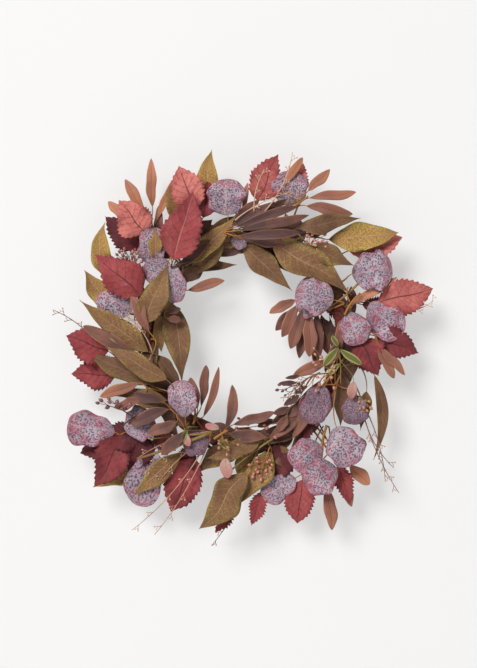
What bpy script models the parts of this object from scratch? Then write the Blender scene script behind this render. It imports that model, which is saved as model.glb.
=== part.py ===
"""Harvest door wreath: a twisted vine ring, two binding wires, a hanging loop and wired leaf sprays.

Frame: the nail point is the origin, the door plane is y = 0 with the wreath in front of it
(-Y), +Z is up. All sizes below are in millimetres and are turned into metres at the end.
The layout lists places as (x, z) from the centre of the wreath, +x to the right as seen from
the front, for a ring of LAYOUT_RADIUS. Each spray moves outwards with the ring.
"""
import math

import bmesh
import bpy
from mathutils import Matrix, Vector
from mathutils.bvhtree import BVHTree

MM = 0.001

# ring of twisted vines
RING_RADIUS = 113.0
LAYOUT_RADIUS = 113.0
VINE_COUNT = 3
VINE_RADIUS = 4.1
VINE_HALF_GAP = 0.57654
VINE_TWIST_RADIUS = (VINE_RADIUS + VINE_HALF_GAP) / math.sin(math.pi / VINE_COUNT)
VINE_TURNS = 5
VINE_STEPS = 60
VINE_SIDES = 7
RING_BACK_GAP = 2.5
RING_DEPTH = RING_BACK_GAP + VINE_TWIST_RADIUS + VINE_RADIUS

# wires
BIND_CLOCKS = (118.0, 242.0)
BIND_WIRE_RADIUS = 0.6
BIND_GAP = 0.5
LOOP_WIRE_RADIUS = 0.9
LOOP_GAP = 1.2
LOOP_NAIL_RADIUS = 4.0
NAIL_ABOVE_RING = 37.0
NAIL_HEIGHT = RING_RADIUS + NAIL_ABOVE_RING
NAIL_DEPTH = 4.0
SWING_DEG = 12.0

# sprays
LEAF_SCALE = 1.0
LEAF_THICKNESS = 1.1
STEM_RADIUS = 1.1
STEM_GAP = 0.6
STEM_STEPS = 5
PETIOLE_RADIUS = 0.8
ELBOW_REACH = 6.0
MERGE_DISTANCES = (0.004, 0.002, 0.008, 0.0005)
JOINT_DEPTH = 30.0
CLEARANCE = 0.35
LIFT_STEP = 2.0
LIFT_TOP = 90.0
ROOT_SHIFTS = (0.0, 5.0, -5.0, 10.0, -10.0, 16.0, -16.0)
ROOT_DROPS = (0.0, 0.35, 0.7, 1.0)

# half width along the leaf, as (distance from base, share of the half width)
OUTLINES = {
    "red": ((0.0, 0.1), (0.1, 0.72), (0.3, 1.0), (0.55, 0.86), (0.8, 0.45), (1.0, 0.03)),
    "gum": ((0.0, 0.1), (0.1, 0.6), (0.32, 0.96), (0.6, 1.0), (0.84, 0.74), (1.0, 0.16)),
    "sage": ((0.0, 0.1), (0.14, 0.55), (0.38, 1.0), (0.64, 0.88), (0.86, 0.45), (1.0, 0.03)),
    "copper": ((0.0, 0.14), (0.14, 0.55), (0.4, 0.92), (0.66, 1.0), (0.88, 0.66), (1.0, 0.1)),
    "bead": ((0.0, 0.3), (0.2, 0.8), (0.5, 1.0), (0.8, 0.8), (1.0, 0.3)),
    "grass": ((0.0, 1.0), (0.3, 0.9), (0.65, 0.75), (1.0, 0.4)),
}
ROUND_KINDS = ("bead", "grass")

COLOURS = {
    "red": (0.45, 0.08, 0.08),
    "gum": (0.42, 0.33, 0.42),
    "sage": (0.27, 0.2, 0.07),
    "copper": (0.36, 0.15, 0.09),
    "bead": (0.5, 0.22, 0.16),
    "grass": (0.6, 0.4, 0.28),
    "vine": (0.16, 0.08, 0.04),
    "wire": (0.1, 0.08, 0.05),
}

# Sprays from the door outwards: (name, leaf kind, stem joint, leaves).
# Leaf: (base, tip, width, rise in front of the joint, tilt of the tip outwards in degrees,
# bow, sideways sweep). Missing last values are 0.
SPRAYS = (
    ("red_spray_far_lower_left", "red", (-134, -104), (
        ((-144, -112), (-193, -130), 38, 0, -4, 2),
        ((-141, -110), (-176, -168), 42, 5, 2, 3),
        ((-131, -112), (-108, -140), 30, 2, 0, 2))),
    ("red_spray_bottom_left", "red", (-50, -128), (
        ((-60, -136), (-89, -197), 45, 2, 0, 3),
        ((-60, -128), (-84, -146), 26, 0, -4, 2))),
    ("gum_spray_lower_left", "gum", (-146, -108), (
        ((-152, -105), (-206, -95), 41, 2, 4, 3),
        ((-139, -104), (-110, -84), 40, 5, 6, 3))),
    ("gum_spray_bottom_left", "gum", (-98, -118), (
        ((-108, -126), (-124, -190), 43, 2, 0, 4),)),
    ("sage_leaf_lower_left", "sage", (-70, -122), (
        ((-76, -128), (-132, -178), 24, 3, 2, 3),)),
    ("copper_spray_upper_left", "copper", (-107, 128), (
        ((-109, 155), (-111, 210), 12, 2, 6, 2),
        ((-103, 141), (-83, 188), 9, 5, 4, 1),
        ((-120, 148), (-141, 187), 13, 1, -4, 2),
        ((-138, 140), (-161, 161), 11, 0, -6, 1))),
    ("red_spray_left", "red", (-138, -26), (
        ((-160, -12), (-208, 7), 42, 2, 4, 3),
        ((-151, -39), (-203, -38), 35, 3, -4, 2),
        ((-150, -30), (-187, -19), 20, 0, -10, 1))),
    ("sage_spray_far_left", "sage", (-146, 34), (
        ((-158, 74), (-164, 137), 25, 3, 4, 2, -9),
        ((-158, 38), (-187, 82), 26, 2, 2, 2))),
    ("sage_spray_left_low", "sage", (-84, -60), (
        ((-112, -50), (-186, -10), 24, 0, -6, 3),
        ((-92, -44), (-161, -6), 24, 7, 4, 3),
        ((-92, -68), (-152, -61), 21, 2, 0, 2))),
    ("red_spray_bottom", "red", (38, -112), (
        ((42, -120), (26, -166), 40, 0, 0, 3),
        ((-10, -184), (-37, -221), 18, 0, 4, 2),
        ((17, -174), (5, -213), 20, 2, 2, 2),
        ((64, -160), (58, -210), 36, 1, 2, 3))),
    ("copper_spray_lower_right", "copper", (104, -140), (
        ((92, -168), (99, -218), 15, 2, 2, 2),
        ((106, -152), (121, -192), 13, 0, -4, 2),
        ((118, -143), (141, -165), 16, 3, 6, 1))),
    ("copper_spray_left", "copper", (-112, -54), (
        ((-124, -48), (-168, -64), 13, 2, 0, 1),
        ((-120, -66), (-152, -76), 12, 1, -4, 1))),
    ("red_spray_upper_left", "red", (-110, 104), (
        ((-124, 105), (-164, 144), 36, 0, -4, 3),
        ((-117, 125), (-147, 161), 43, 7, 14, 3))),
    ("sage_spray_top", "sage", (-66, 126), (
        ((-49, 158), (-41, 221), 28, 0, 2, 3),
        ((-80, 136), (-84, 188), 26, 4, 4, 3))),
    ("red_spray_top_left", "red", (-58, 134), (
        ((-60, 150), (-78, 200), 40, 3, 6, 3),
        ((-50, 142), (-44, 186), 26, 0, -8, 2))),
    ("red_spray_top", "red", (24, 144), (
        ((12, 162), (36, 215), 38, 3, 4, 3),
        ((50, 170), (66, 205), 28, 0, 0, 2))),
    ("gum_spray_top_right", "gum", (44, 144), (
        ((46, 156), (55, 194), 42, 2, 8, 3),)),
    ("gum_spray_top", "gum", (-22, 126), (
        ((-22, 144), (-26, 185), 44, 3, 10, 3),)),
    ("copper_spray_top_right", "copper", (58, 154), (
        ((70, 172), (95, 197), 12, 2, 0, 2),
        ((71, 164), (125, 170), 12, 3, 4, 2),
        ((68, 155), (121, 145), 15, 4, 0, 3),
        ((44, 180), (64, 211), 10, 0, -6, 1))),
    ("sage_spray_upper_right_back", "sage", (52, 124), (
        ((58, 130), (130, 141), 22, 2, 0, 3),
        ((74, 108), (122, 86), 24, 0, -2, 2))),
    ("red_spray_upper_right", "red", (106, 98), (
        ((118, 104), (179, 119), 32, 2, 0, 3),)),
    ("sage_spray_upper_right", "sage", (78, 118), (
        ((94, 117), (174, 124), 33, 4, 6, 4),)),
    ("gum_spray_right_high", "gum", (112, 70), (
        ((121, 77), (166, 85), 46, 4, 12, 4),)),
    ("red_spray_right_low", "red", (128, 8), (
        ((129, 1), (152, -40), 40, 4, 2, 3),
        ((150, 5), (197, -14), 36, 0, 6, 3))),
    ("copper_spray_right_low", "copper", (142, 12), (
        ((150, -4), (169, -43), 11, 0, 0, 1),
        ((154, -8), (181, -39), 10, 2, 4, 1))),
    ("red_spray_right", "red", (124, 44), (
        ((150, 44), (214, 60), 42, 2, 6, 3),
        ((133, 42), (168, 41), 20, 0, -6, 2))),
    ("sage_spray_hanging_right", "sage", (124, -26), (
        ((108, -32), (108, -99), 19, 2, 0, 3),
        ((147, -40), (146, -138), 20, 3, -4, 3, -10),
        ((138, -58), (131, -103), 15, 0, 0, 2))),
    ("copper_spray_inner_right", "copper", (104, -30), (
        ((100, -60), (79, -98), 12, 2, 0, 2),
        ((84, -46), (41, -104), 15, 1, 0, 2),
        ((94, -22), (53, -41), 13, 0, 0, 2),
        ((105, -15), (107, 24), 10, 3, 2, 1))),
    ("gum_spray_lower_right", "gum", (104, -48), (
        ((88, -52), (68, -94), 34, 3, 0, 3),
        ((126, -62), (120, -96), 30, 1, -4, 2),
        ((102, -98), (119, -142), 44, 14, 8, 4))),
    ("gum_spray_bottom_right", "gum", (94, -116), (
        ((56, -158), (18, -180), 31, 0, 2, 3),
        ((84, -119), (52, -144), 40, 4, 6, 3),
        ((103, -146), (66, -164), 42, 12, 6, 3))),
    ("copper_fan_right", "copper", (70, 48), (
        ((56, 47), (26, 32), 12, 0, 0, 1),
        ((58, 42), (41, 4), 15, 2, 2, 2),
        ((64, 36), (50, -9), 15, 4, 0, 2),
        ((72, 34), (72, -18), 16, 6, 4, 2),
        ((80, 34), (83, -19), 14, 3, 2, 2))),
    ("gum_spray_far_right", "gum", (126, 46), (
        ((142, 44), (176, 5), 40, 0, 4, 3),
        ((118, 33), (128, -4), 36, 5, 6, 3))),
    ("bead_sprig_upper_left", "bead", (-126, 74), (
        ((-134, 96), (-136, 101), 5, 1, 0, 0),
        ((-144, 97), (-148, 100), 5, 2, 0, 0),
        ((-143, 90), (-148, 91), 5, 0, 0, 0),
        ((-132, 88), (-134, 93), 5, 4, 0, 0),
        ((-138, 83), (-142, 86), 5, 3, 0, 0))),
    ("sage_spray_bottom", "sage", (24, -113), (
        ((28, -128), (-16, -193), 30, 0, 0, 3),
        ((0, -150), (-53, -217), 38, 8, 4, 4),
        ((14, -116), (-46, -136), 21, 9, 2, 3))),
    ("gum_spray_upper_left", "gum", (-108, 77), (
        ((-110, 86), (-108, 131), 34, 2, 2, 3),)),
    ("gum_leaf_left", "gum", (-126, 26), (
        ((-133, 34), (-170, 60), 41, 3, 4, 4),)),
    ("red_leaf_left", "red", (-112, 46), (
        ((-122, 53), (-174, 99), 46, 5, 4, 4),)),
    ("sage_spray_inner_left", "sage", (-96, 52), (
        ((-88, 44), (-76, -49), 31, 0, 0, 3, -4),
        ((-102, 32), (-98, -13), 17, 3, 0, 2))),
    ("sage_spray_inner_top", "sage", (-82, 70), (
        ((-62, 76), (-24, 127), 25, 0, 0, 3),
        ((-66, 90), (-12, 143), 23, 6, 2, 3),
        ((-74, 72), (-47, 84), 18, 2, -6, 1))),
    ("copper_spray_inner_left", "copper", (-78, 70), (
        ((-79, 84), (-43, 116), 14, 5, 0, 2),
        ((-68, 58), (-26, 70), 12, 0, 0, 2))),
    ("gum_spray_inner_left", "gum", (-86, 98), (
        ((-90, 92), (-114, 68), 36, 0, 2, 3),
        ((-86, 88), (-82, 44), 27, 8, 4, 4))),
    ("sage_leaf_inner_left", "sage", (-116, 12), (
        ((-117, 21), (-90, 91), 32, 5, 2, 4),)),
    ("copper_leaf_left", "copper", (-106, 2), (
        ((-112, 11), (-132, 51), 14, 3, 2, 2),)),
    ("sage_leaf_left", "sage", (-104, -18), (
        ((-114, -12), (-192, 47), 28, 5, 4, 4),)),
    ("copper_fan_inner_low", "copper", (-58, -92), (
        ((-53, -76), (-47, -28), 11, 0, 4, 2),
        ((-50, -87), (-32, -30), 9, 2, 6, 2, 3),
        ((-57, -78), (-65, -42), 14, 5, 2, 2))),
    ("gum_leaf_inner_low", "gum", (-69, -97), (
        ((-71, -87), (-77, -45), 34, 4, 4, 4),)),
    ("copper_spray_inner_bottom", "copper", (-29, -108), (
        ((-25, -102), (-17, -50), 12, 4, 4, 2, 5),
        ((-16, -96), (32, -82), 12, 2, 0, 2),
        ((-20, -107), (22, -110), 15, 0, 0, 2))),
    ("red_leaf_front", "red", (-86, 84), (
        ((-84, 93), (-61, 170), 46, 5, 6, 4),)),
    ("sage_spray_right", "sage", (-10, 126), (
        ((-4, 110), (52, 58), 28, 0, 0, 3),
        ((28, 117), (121, 55), 38, 8, 2, 4))),
    ("copper_fan_top", "copper", (-26, 124), (
        ((-18, 131), (28, 157), 14, 0, 2, 2),
        ((-14, 130), (57, 154), 13, 3, 0, 3),
        ((-10, 126), (71, 142), 14, 5, 2, 3),
        ((-10, 120), (60, 124), 15, 7, 2, 3))),
    ("gum_leaf_right", "gum", (111, 43), (
        ((99, 47), (55, 55), 41, 5, 6, 4),)),
    ("bead_sprig_bottom", "bead", (26, -122), (
        ((12, -128), (9, -132), 5, 2, 0, 0),
        ((22, -134), (19, -138), 5, 3, 0, 0),
        ((27, -137), (28, -141), 5, 1, 0, 0),
        ((24, -141), (23, -145), 5, 4, 0, 0),
        ((18, -145), (16, -149), 5, 2, 0, 0))),
    ("grass_sprig_bottom_left", "grass", (-40, -104), (
        ((-50, -110), (-126, -134), 2, 2, 4, 3),
        ((-46, -130), (-118, -151), 2, 1, 2, 2),
        ((-44, -140), (-130, -216), 2, 0, 2, 4),
        ((-38, -146), (-106, -221), 2, 3, 2, 3))),
    ("grass_sprig_right", "grass", (130, -66), (
        ((138, -84), (158, -161), 2, 0, 2, 3),
        ((144, -94), (175, -174), 2, 2, 2, 3),
        ((148, -84), (168, -147), 2, 3, 2, 3))),
)


def to_world(x, z, depth):
    """Layout place (mm) to the object's own frame (mm)."""
    return Vector((x, -depth, z - NAIL_HEIGHT))


def move_with_ring(place, anchor):
    """Carries a layout place outwards when the ring radius differs from the layout's."""
    away = Vector(anchor).normalized()
    return Vector(place) + away * (RING_RADIUS - LAYOUT_RADIUS)


def ring_place(clock_deg, radius, depth):
    """Point at a clock angle (0 at the top, clockwise from the front)."""
    angle = math.radians(clock_deg)
    return to_world(radius * math.sin(angle), radius * math.cos(angle), depth)


def clock_of(place):
    return math.degrees(math.atan2(place[0], place[1]))


def cross_ring(bm, centre, across, front, half_width, half_depth):
    """Four corners of a section: one side, the front, the other side, the back."""
    places = (centre - across * half_width, centre + front * half_depth,
              centre + across * half_width, centre - front * half_depth)
    return [bm.verts.new(place) for place in places]


def join_rings(bm, first, second):
    """Side faces between two sections, matched by the shortest total distance."""
    count = len(first)
    shifts = range(count)
    turn = min(shifts, key=lambda s: sum(
        (first[i].co - second[(i + s) % count].co).length for i in shifts))
    ordered = [second[(i + turn) % count] for i in range(count)]
    sides = []
    for i in range(count):
        j = (i + 1) % count
        sides.append(bm.faces.new((first[i], first[j], ordered[j], ordered[i])))
    return sides


def section_axes(direction):
    """Across and front directions of a section whose run is the given direction."""
    run = direction.normalized()
    outwards = Vector((0.0, -1.0, 0.0))
    across = run.cross(outwards)
    if across.length < 0.05:
        across = Vector((1.0, 0.0, 0.0))
    across.normalize()
    return across, across.cross(run).normalized()


def leaf_values(row):
    """Fills the missing last values of a leaf row with zero."""
    base, tip, width, rise, tilt, bow = row[:6]
    sweep = row[6] if len(row) > 6 else 0.0
    return base, tip, width, rise, tilt, bow, sweep


def leaf_sections(kind, row, anchor, joint_depth, swell):
    """Centre, across, front, half width and half depth of each section of a leaf."""
    base, tip, width, rise, tilt, bow, sweep = leaf_values(row)
    start = move_with_ring(base, anchor)
    flat = (Vector(tip) - Vector(base)) * LEAF_SCALE
    origin = to_world(start.x, start.y, joint_depth + rise)
    run = Vector((flat.x, -flat.length * math.tan(math.radians(tilt)), flat.y))
    across, front = section_axes(run)
    half = 0.5 * width * LEAF_SCALE
    sections = []
    for share, spread in OUTLINES[kind]:
        arch = 4.0 * share * (1.0 - share)
        centre = origin + run * share + front * (bow * arch) + across * (sweep * arch)
        half_width = max(0.5, half * spread) + swell
        thick = half_width if kind in ROUND_KINDS else 0.5 * LEAF_THICKNESS + swell
        sections.append((centre, across, front, half_width, thick))
    return sections


def skin(rings):
    """A closed solid through a row of sections, with a cap at each end."""
    bm = bmesh.new()
    previous = None
    for centre, across, front, half_width, half_depth in rings:
        ring = cross_ring(bm, centre, across, front, half_width, half_depth)
        if previous is None:
            bm.faces.new(list(reversed(ring)))
        else:
            join_rings(bm, previous, ring)
        previous = ring
    bm.faces.new(previous)
    finish_skin(bm)
    return bm


def finish_skin(bm):
    """Triangles all facing outwards."""
    bmesh.ops.recalc_face_normals(bm, faces=bm.faces[:])
    bmesh.ops.triangulate(bm, faces=bm.faces[:])
    if bm.calc_volume(signed=True) < 0.0:
        bmesh.ops.reverse_faces(bm, faces=bm.faces[:])


def stem_path(root, joint, steps):
    """Stem from the vine ring to the joint, leaving the ring along the bundle."""
    path = []
    for i in range(steps + 1):
        share = i / steps
        ease = share * share * (3.0 - 2.0 * share)
        place = root.lerp(joint, share)
        place.y = root.y + (joint.y - root.y) * ease
        path.append(place)
    return path


def stem_rings(joint, leaves, lift, shift, drop, swell):
    """Square sections of a spray's stem, from the vines to its joint."""
    depth = JOINT_DEPTH + lift
    spot = move_with_ring(joint, joint)
    end = to_world(spot.x, spot.y, depth)
    front_of_ring = RING_DEPTH + VINE_TWIST_RADIUS + VINE_RADIUS + STEM_GAP + STEM_RADIUS
    root_depth = front_of_ring + (depth - front_of_ring) * drop
    root = ring_place(clock_of(joint) + shift, RING_RADIUS, root_depth)
    if (root - end).length < 14.0:
        root = ring_place(clock_of(joint) + shift - 9.0, RING_RADIUS, root_depth)
    path = stem_path(root, end, STEM_STEPS)
    half = STEM_RADIUS + swell
    rings = []
    for i, place in enumerate(path):
        run = path[min(i + 1, STEM_STEPS)] - path[max(i - 1, 0)]
        across, front = section_axes(run)
        rings.append((place, across, front, half, half))
    return rings


def petiole_ring(stem_end, first, index, swell):
    """The start of a leaf's stalk, sunk in the end of the stem."""
    inwards = (stem_end[1][0] - stem_end[0][0]).normalized() * (0.5 + 0.35 * index)
    start = stem_end[0][0] + inwards
    across, front = section_axes(first[0] - start)
    half = PETIOLE_RADIUS + swell
    return start, across, front, half, half


def elbow(start, sections):
    """A bend ahead of the leaf where its stalk would otherwise turn sharply."""
    base = sections[0][0]
    run = (sections[-1][0] - base).normalized()
    stalk = base - start[0]
    if stalk.normalized().dot(run) > 0.75:
        return []
    reach = min(ELBOW_REACH, 0.5 * stalk.length)
    place = base - run * reach
    across, front = section_axes((place - start[0]).normalized() + run)
    return [(place, across, front, start[3], start[4])]


def spray_solids(kind, joint, leaves, lift, shift, drop, swell):
    """The stem and the leaves of a spray as separate closed solids."""
    stem = stem_rings(joint, leaves, lift, shift, drop, swell)
    solids = [skin(stem)]
    stem_end = (stem[-1], stem[-2])
    for index, row in enumerate(leaves):
        sections = leaf_sections(kind, row, joint, JOINT_DEPTH + lift, swell)
        start = petiole_ring(stem_end, sections[0], index, swell)
        solids.append(skin([start] + elbow(start, sections) + sections))
    return solids


def skins_tree(solids):
    """One search tree over several solids, which are freed."""
    places, faces = [], []
    for bm in solids:
        first = len(places)
        bm.verts.index_update()
        places += [vert.co.copy() for vert in bm.verts]
        faces += [[first + vert.index for vert in face.verts] for face in bm.faces]
        bm.free()
    return BVHTree.FromPolygons(places, faces)


def temporary_object(bm):
    """A throw-away object that carries a solid."""
    mesh = bpy.data.meshes.new("solid")
    bm.to_mesh(mesh)
    bm.free()
    holder = bpy.data.objects.new("solid", mesh)
    bpy.context.scene.collection.objects.link(holder)
    return holder


def joined(solids, at_once):
    """The Boolean union of solids, taken one by one or all at once."""
    holders = [temporary_object(bm) for bm in solids]
    body = holders[0]
    group = bpy.data.collections.new("solids")
    for other in holders[1:]:
        group.objects.link(other)
    for other in holders[1:2] if at_once else holders[1:]:
        union = body.modifiers.new("union", "BOOLEAN")
        union.operation = "UNION"
        union.solver = "EXACT"
        union.object = other
        if at_once:
            union.operand_type = "COLLECTION"
            union.collection = group
    bpy.context.view_layer.update()
    shape = body.evaluated_get(bpy.context.evaluated_depsgraph_get())
    bm = bmesh.new()
    bm.from_mesh(shape.to_mesh())
    shape.to_mesh_clear()
    bpy.data.collections.remove(group)
    for holder in holders:
        mesh = holder.data
        bpy.data.objects.remove(holder, do_unlink=True)
        bpy.data.meshes.remove(mesh)
    return bm


def is_closed(bm):
    """Whether every edge of a skin joins exactly two faces."""
    return all(len(edge.link_faces) == 2 for edge in bm.edges)


def welded(bm):
    """A skin with its slivers merged, at the first distance that leaves it closed."""
    for distance in MERGE_DISTANCES:
        trial = bm.copy()
        bmesh.ops.remove_doubles(trial, verts=trial.verts[:], dist=distance)
        bmesh.ops.triangulate(trial, faces=trial.faces[:])
        if is_closed(trial):
            break
    bm.free()
    return trial


def fused(kind, joint, leaves, lift, shift, drop):
    """A spray's stem and leaves as one closed skin."""
    for at_once in (False, True):
        bm = welded(joined(spray_solids(kind, joint, leaves, lift, shift, drop, 0.0), at_once))
        if is_closed(bm):
            break
    return bm


def tube(points, radius, sides, closed, axis=None):
    """A round closed tube along points."""
    bm = bmesh.new()
    count = len(points)
    rings = []
    for i, place in enumerate(points):
        run = (points[(i + 1) % count] - points[i - 1]).normalized()
        side = run.cross(axis(place) if axis else Vector((0.0, -1.0, 0.0))).normalized()
        other = side.cross(run).normalized()
        ring = []
        for k in range(sides):
            turn = 2.0 * math.pi * k / sides
            ring.append(bm.verts.new(
                place + (side * math.cos(turn) + other * math.sin(turn)) * radius))
        rings.append(ring)
    spans = count if closed else count - 1
    for i in range(spans):
        first, second = rings[i], rings[(i + 1) % count]
        for k in range(sides):
            n = (k + 1) % sides
            bm.faces.new((first[k], first[n], second[n], second[k]))
    finish_skin(bm)
    return bm


def vine(index):
    """One vine of the ring: a helix wound round the ring line."""
    points = []
    for i in range(VINE_STEPS):
        share = i / VINE_STEPS
        twist = 2.0 * math.pi * (VINE_TURNS * share + index / VINE_COUNT)
        radius = RING_RADIUS + VINE_TWIST_RADIUS * math.cos(twist)
        depth = RING_DEPTH + VINE_TWIST_RADIUS * math.sin(twist)
        points.append(ring_place(360.0 * share, radius, depth))
    return tube(points, VINE_RADIUS, VINE_SIDES, True)


def binding_wire(clock_deg):
    """A turn of wire round the vines, with its own small gap."""
    reach = VINE_TWIST_RADIUS + VINE_RADIUS + BIND_GAP + BIND_WIRE_RADIUS
    points = []
    for i in range(18):
        angle = 2.0 * math.pi * i / 18
        points.append(ring_place(clock_deg, RING_RADIUS + reach * math.cos(angle),
                                 RING_DEPTH + reach * math.sin(angle)))
    middle = ring_place(clock_deg, RING_RADIUS, RING_DEPTH)
    return tube(points, BIND_WIRE_RADIUS, 6, True, lambda place: place - middle)


def hanging_loop():
    """A wire loop: round the vines at the bottom, over the nail at the top."""
    reach = VINE_TWIST_RADIUS + VINE_RADIUS + LOOP_GAP + LOOP_WIRE_RADIUS
    middle = to_world(0.0, RING_RADIUS, RING_DEPTH)
    points = []
    for i in range(15):
        angle = math.radians(-20.0 + 220.0 * i / 14)
        points.append(middle + Vector((0.0, reach * math.cos(angle), -reach * math.sin(angle))))
    for i in range(7):
        angle = math.pi * i / 6
        points.append(Vector((-LOOP_NAIL_RADIUS * math.cos(angle), -NAIL_DEPTH,
                              LOOP_NAIL_RADIUS * (math.sin(angle) - 1.0))))
    return tube(points, LOOP_WIRE_RADIUS, 6, True, loop_axis(middle))


def loop_axis(middle):
    """Reference direction that keeps the loop's sections from flipping."""
    def reference(place):
        low = (place - middle).length < 20.0
        return Vector((1.0, 0.0, 0.0)) if low else Vector((0.6, -0.8, 0.0))
    return reference


def swung_loops():
    """The hanging loop as the tilted wreath meets it, which the sprays also keep clear of."""
    middle = to_world(0.0, RING_RADIUS, RING_DEPTH)
    trees = []
    for share in (0.25, 0.5, 0.75, 1.0):
        bm = hanging_loop()
        turn = Matrix.Rotation(math.radians(SWING_DEG * share), 3, "X")
        bmesh.ops.rotate(bm, cent=middle, matrix=turn, verts=bm.verts[:])
        trees.append(BVHTree.FromBMesh(bm))
        bm.free()
    return trees


def covered(kind, joint, leaves, lift, others):
    """True when a settled skin lies in front of any of the leaves."""
    outwards = Vector((0.0, -1.0, 0.0))
    for row in leaves:
        for section in leaf_sections(kind, row, joint, JOINT_DEPTH + lift, 0.0)[1:]:
            centre, across, front, half_width, half_depth = section
            for share in (-0.9, 0.0, 0.9):
                place = centre + across * (half_width * share)
                if any(tree.ray_cast(place, outwards)[0] for tree in others):
                    return True
    return False


def settle(kind, joint, leaves, others):
    """Raises a spray off the layers behind it until it clears them."""
    lift = 0.0
    while lift < LIFT_TOP:
        if not covered(kind, joint, leaves, lift, others):
            for drop in ROOT_DROPS:
                for shift in ROOT_SHIFTS:
                    tree = skins_tree(
                        spray_solids(kind, joint, leaves, lift, shift, drop, CLEARANCE))
                    if not any(tree.overlap(other) for other in others):
                        return lift, shift, drop
        lift += LIFT_STEP
    return lift, 0.0, 1.0


def make_material(kind):
    material = bpy.data.materials.new(kind)
    material.use_nodes = True
    shader = material.node_tree.nodes["Principled BSDF"]
    shader.inputs["Base Color"].default_value = (*COLOURS[kind], 1.0)
    shader.inputs["Roughness"].default_value = 0.45 if kind == "wire" else 0.7
    shader.inputs["Metallic"].default_value = 0.9 if kind == "wire" else 0.0
    return material


def add_node(name, bm, material):
    """Turns a skin in millimetres into one object in metres."""
    bmesh.ops.scale(bm, vec=(MM, MM, MM), verts=bm.verts[:])
    mesh = bpy.data.meshes.new(name)
    bm.to_mesh(mesh)
    bm.free()
    mesh.materials.append(material)
    node = bpy.data.objects.new(name, mesh)
    bpy.context.scene.collection.objects.link(node)
    return node


def build():
    for old in list(bpy.data.objects):
        bpy.data.objects.remove(old, do_unlink=True)
    materials = {kind: make_material(kind) for kind in COLOURS}
    fixed = [("vine_%d" % (i + 1), "vine", vine(i)) for i in range(VINE_COUNT)]
    fixed += [("binding_wire_%d" % (i + 1), "wire", binding_wire(clock))
              for i, clock in enumerate(BIND_CLOCKS)]
    fixed.append(("hanging_loop", "wire", hanging_loop()))
    settled = [BVHTree.FromBMesh(bm) for name, kind, bm in fixed] + swung_loops()
    for name, kind, bm in fixed:
        add_node(name, bm, materials[kind])
    for name, kind, joint, leaves in SPRAYS:
        lift, shift, drop = settle(kind, joint, leaves, settled)
        bm = fused(kind, joint, leaves, lift, shift, drop)
        settled.append(BVHTree.FromBMesh(bm))
        node = add_node(name, bm, materials[kind])
        print(node.name, "lift", lift, "shift", shift, "drop", drop)


build()
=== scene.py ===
# %% [markdown]
# # Harvest door wreath
# A door wreath of fabric leaves on a ring of three twisted vines. Every spray of leaves is
# its own piece: a wrapped wire stem that leaves the ring, and die-cut fabric leaves with
# printed veins on thin stalks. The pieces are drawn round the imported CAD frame.

import math
import random

import bmesh
import bpy
from mathutils import Matrix, Vector


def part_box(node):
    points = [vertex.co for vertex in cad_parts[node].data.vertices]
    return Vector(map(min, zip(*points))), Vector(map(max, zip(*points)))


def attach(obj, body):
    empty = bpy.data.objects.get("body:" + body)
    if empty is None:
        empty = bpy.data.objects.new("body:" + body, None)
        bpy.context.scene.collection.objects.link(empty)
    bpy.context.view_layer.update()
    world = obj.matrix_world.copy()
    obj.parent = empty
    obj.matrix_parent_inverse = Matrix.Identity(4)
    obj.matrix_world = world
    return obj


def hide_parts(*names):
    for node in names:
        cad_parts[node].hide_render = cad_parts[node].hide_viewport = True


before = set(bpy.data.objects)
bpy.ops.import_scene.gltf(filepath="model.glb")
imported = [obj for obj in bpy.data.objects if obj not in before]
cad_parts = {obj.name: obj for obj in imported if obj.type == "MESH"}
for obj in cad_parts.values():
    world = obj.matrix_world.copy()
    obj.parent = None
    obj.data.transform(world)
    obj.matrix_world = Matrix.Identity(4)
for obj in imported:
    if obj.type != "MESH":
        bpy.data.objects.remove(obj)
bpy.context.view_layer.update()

# %% Sizes in millimetres
MM = 0.001
NAIL_HEIGHT = 150.0
RING_RADIUS = 113.0
RING_DEPTH = 12.0
VINE_COUNT = 3
VINE_RADIUS = 4.1
VINE_TWIST_RADIUS = 5.4
VINE_TURNS = 5
STEM_RADIUS = 1.1
STEM_START_DEPTH = 23.2
PETIOLE_RADIUS = 0.75
STALK_UNDER_LEAF = 5.0
LEAF_SHEET = 0.4
WELD_DISTANCE = 0.0005
FULL_TURN = 6.283
ROOT_SHIFTS = (0.0, 5.0, -5.0, 10.0, -10.0, 16.0, -16.0)
ROOT_DROPS = (0.0, 0.35, 0.7, 1.0)
OUTWARDS = Vector((0.0, -1.0, 0.0))


def to_world(x, z, depth):
    """Layout place to the object's own frame: x to the right, z up from the ring's centre."""
    return Vector((x, -depth, z - NAIL_HEIGHT))


def ring_place(clock_deg, radius, depth):
    """Point at a clock angle, 0 at the top and clockwise from the front."""
    angle = math.radians(clock_deg)
    return to_world(radius * math.sin(angle), radius * math.cos(angle), depth)


def clock_of(place):
    return math.degrees(math.atan2(place[0], place[1]))


# %% [markdown]
# ## Shader arithmetic
# A finish is worked out from the leaf's own UV, with u across and v from stalk to tip, and
# from the object's coordinates. A small class lets a node socket be added, multiplied and
# compared like a number, so that a vein reads as the formula that draws it.

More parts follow.
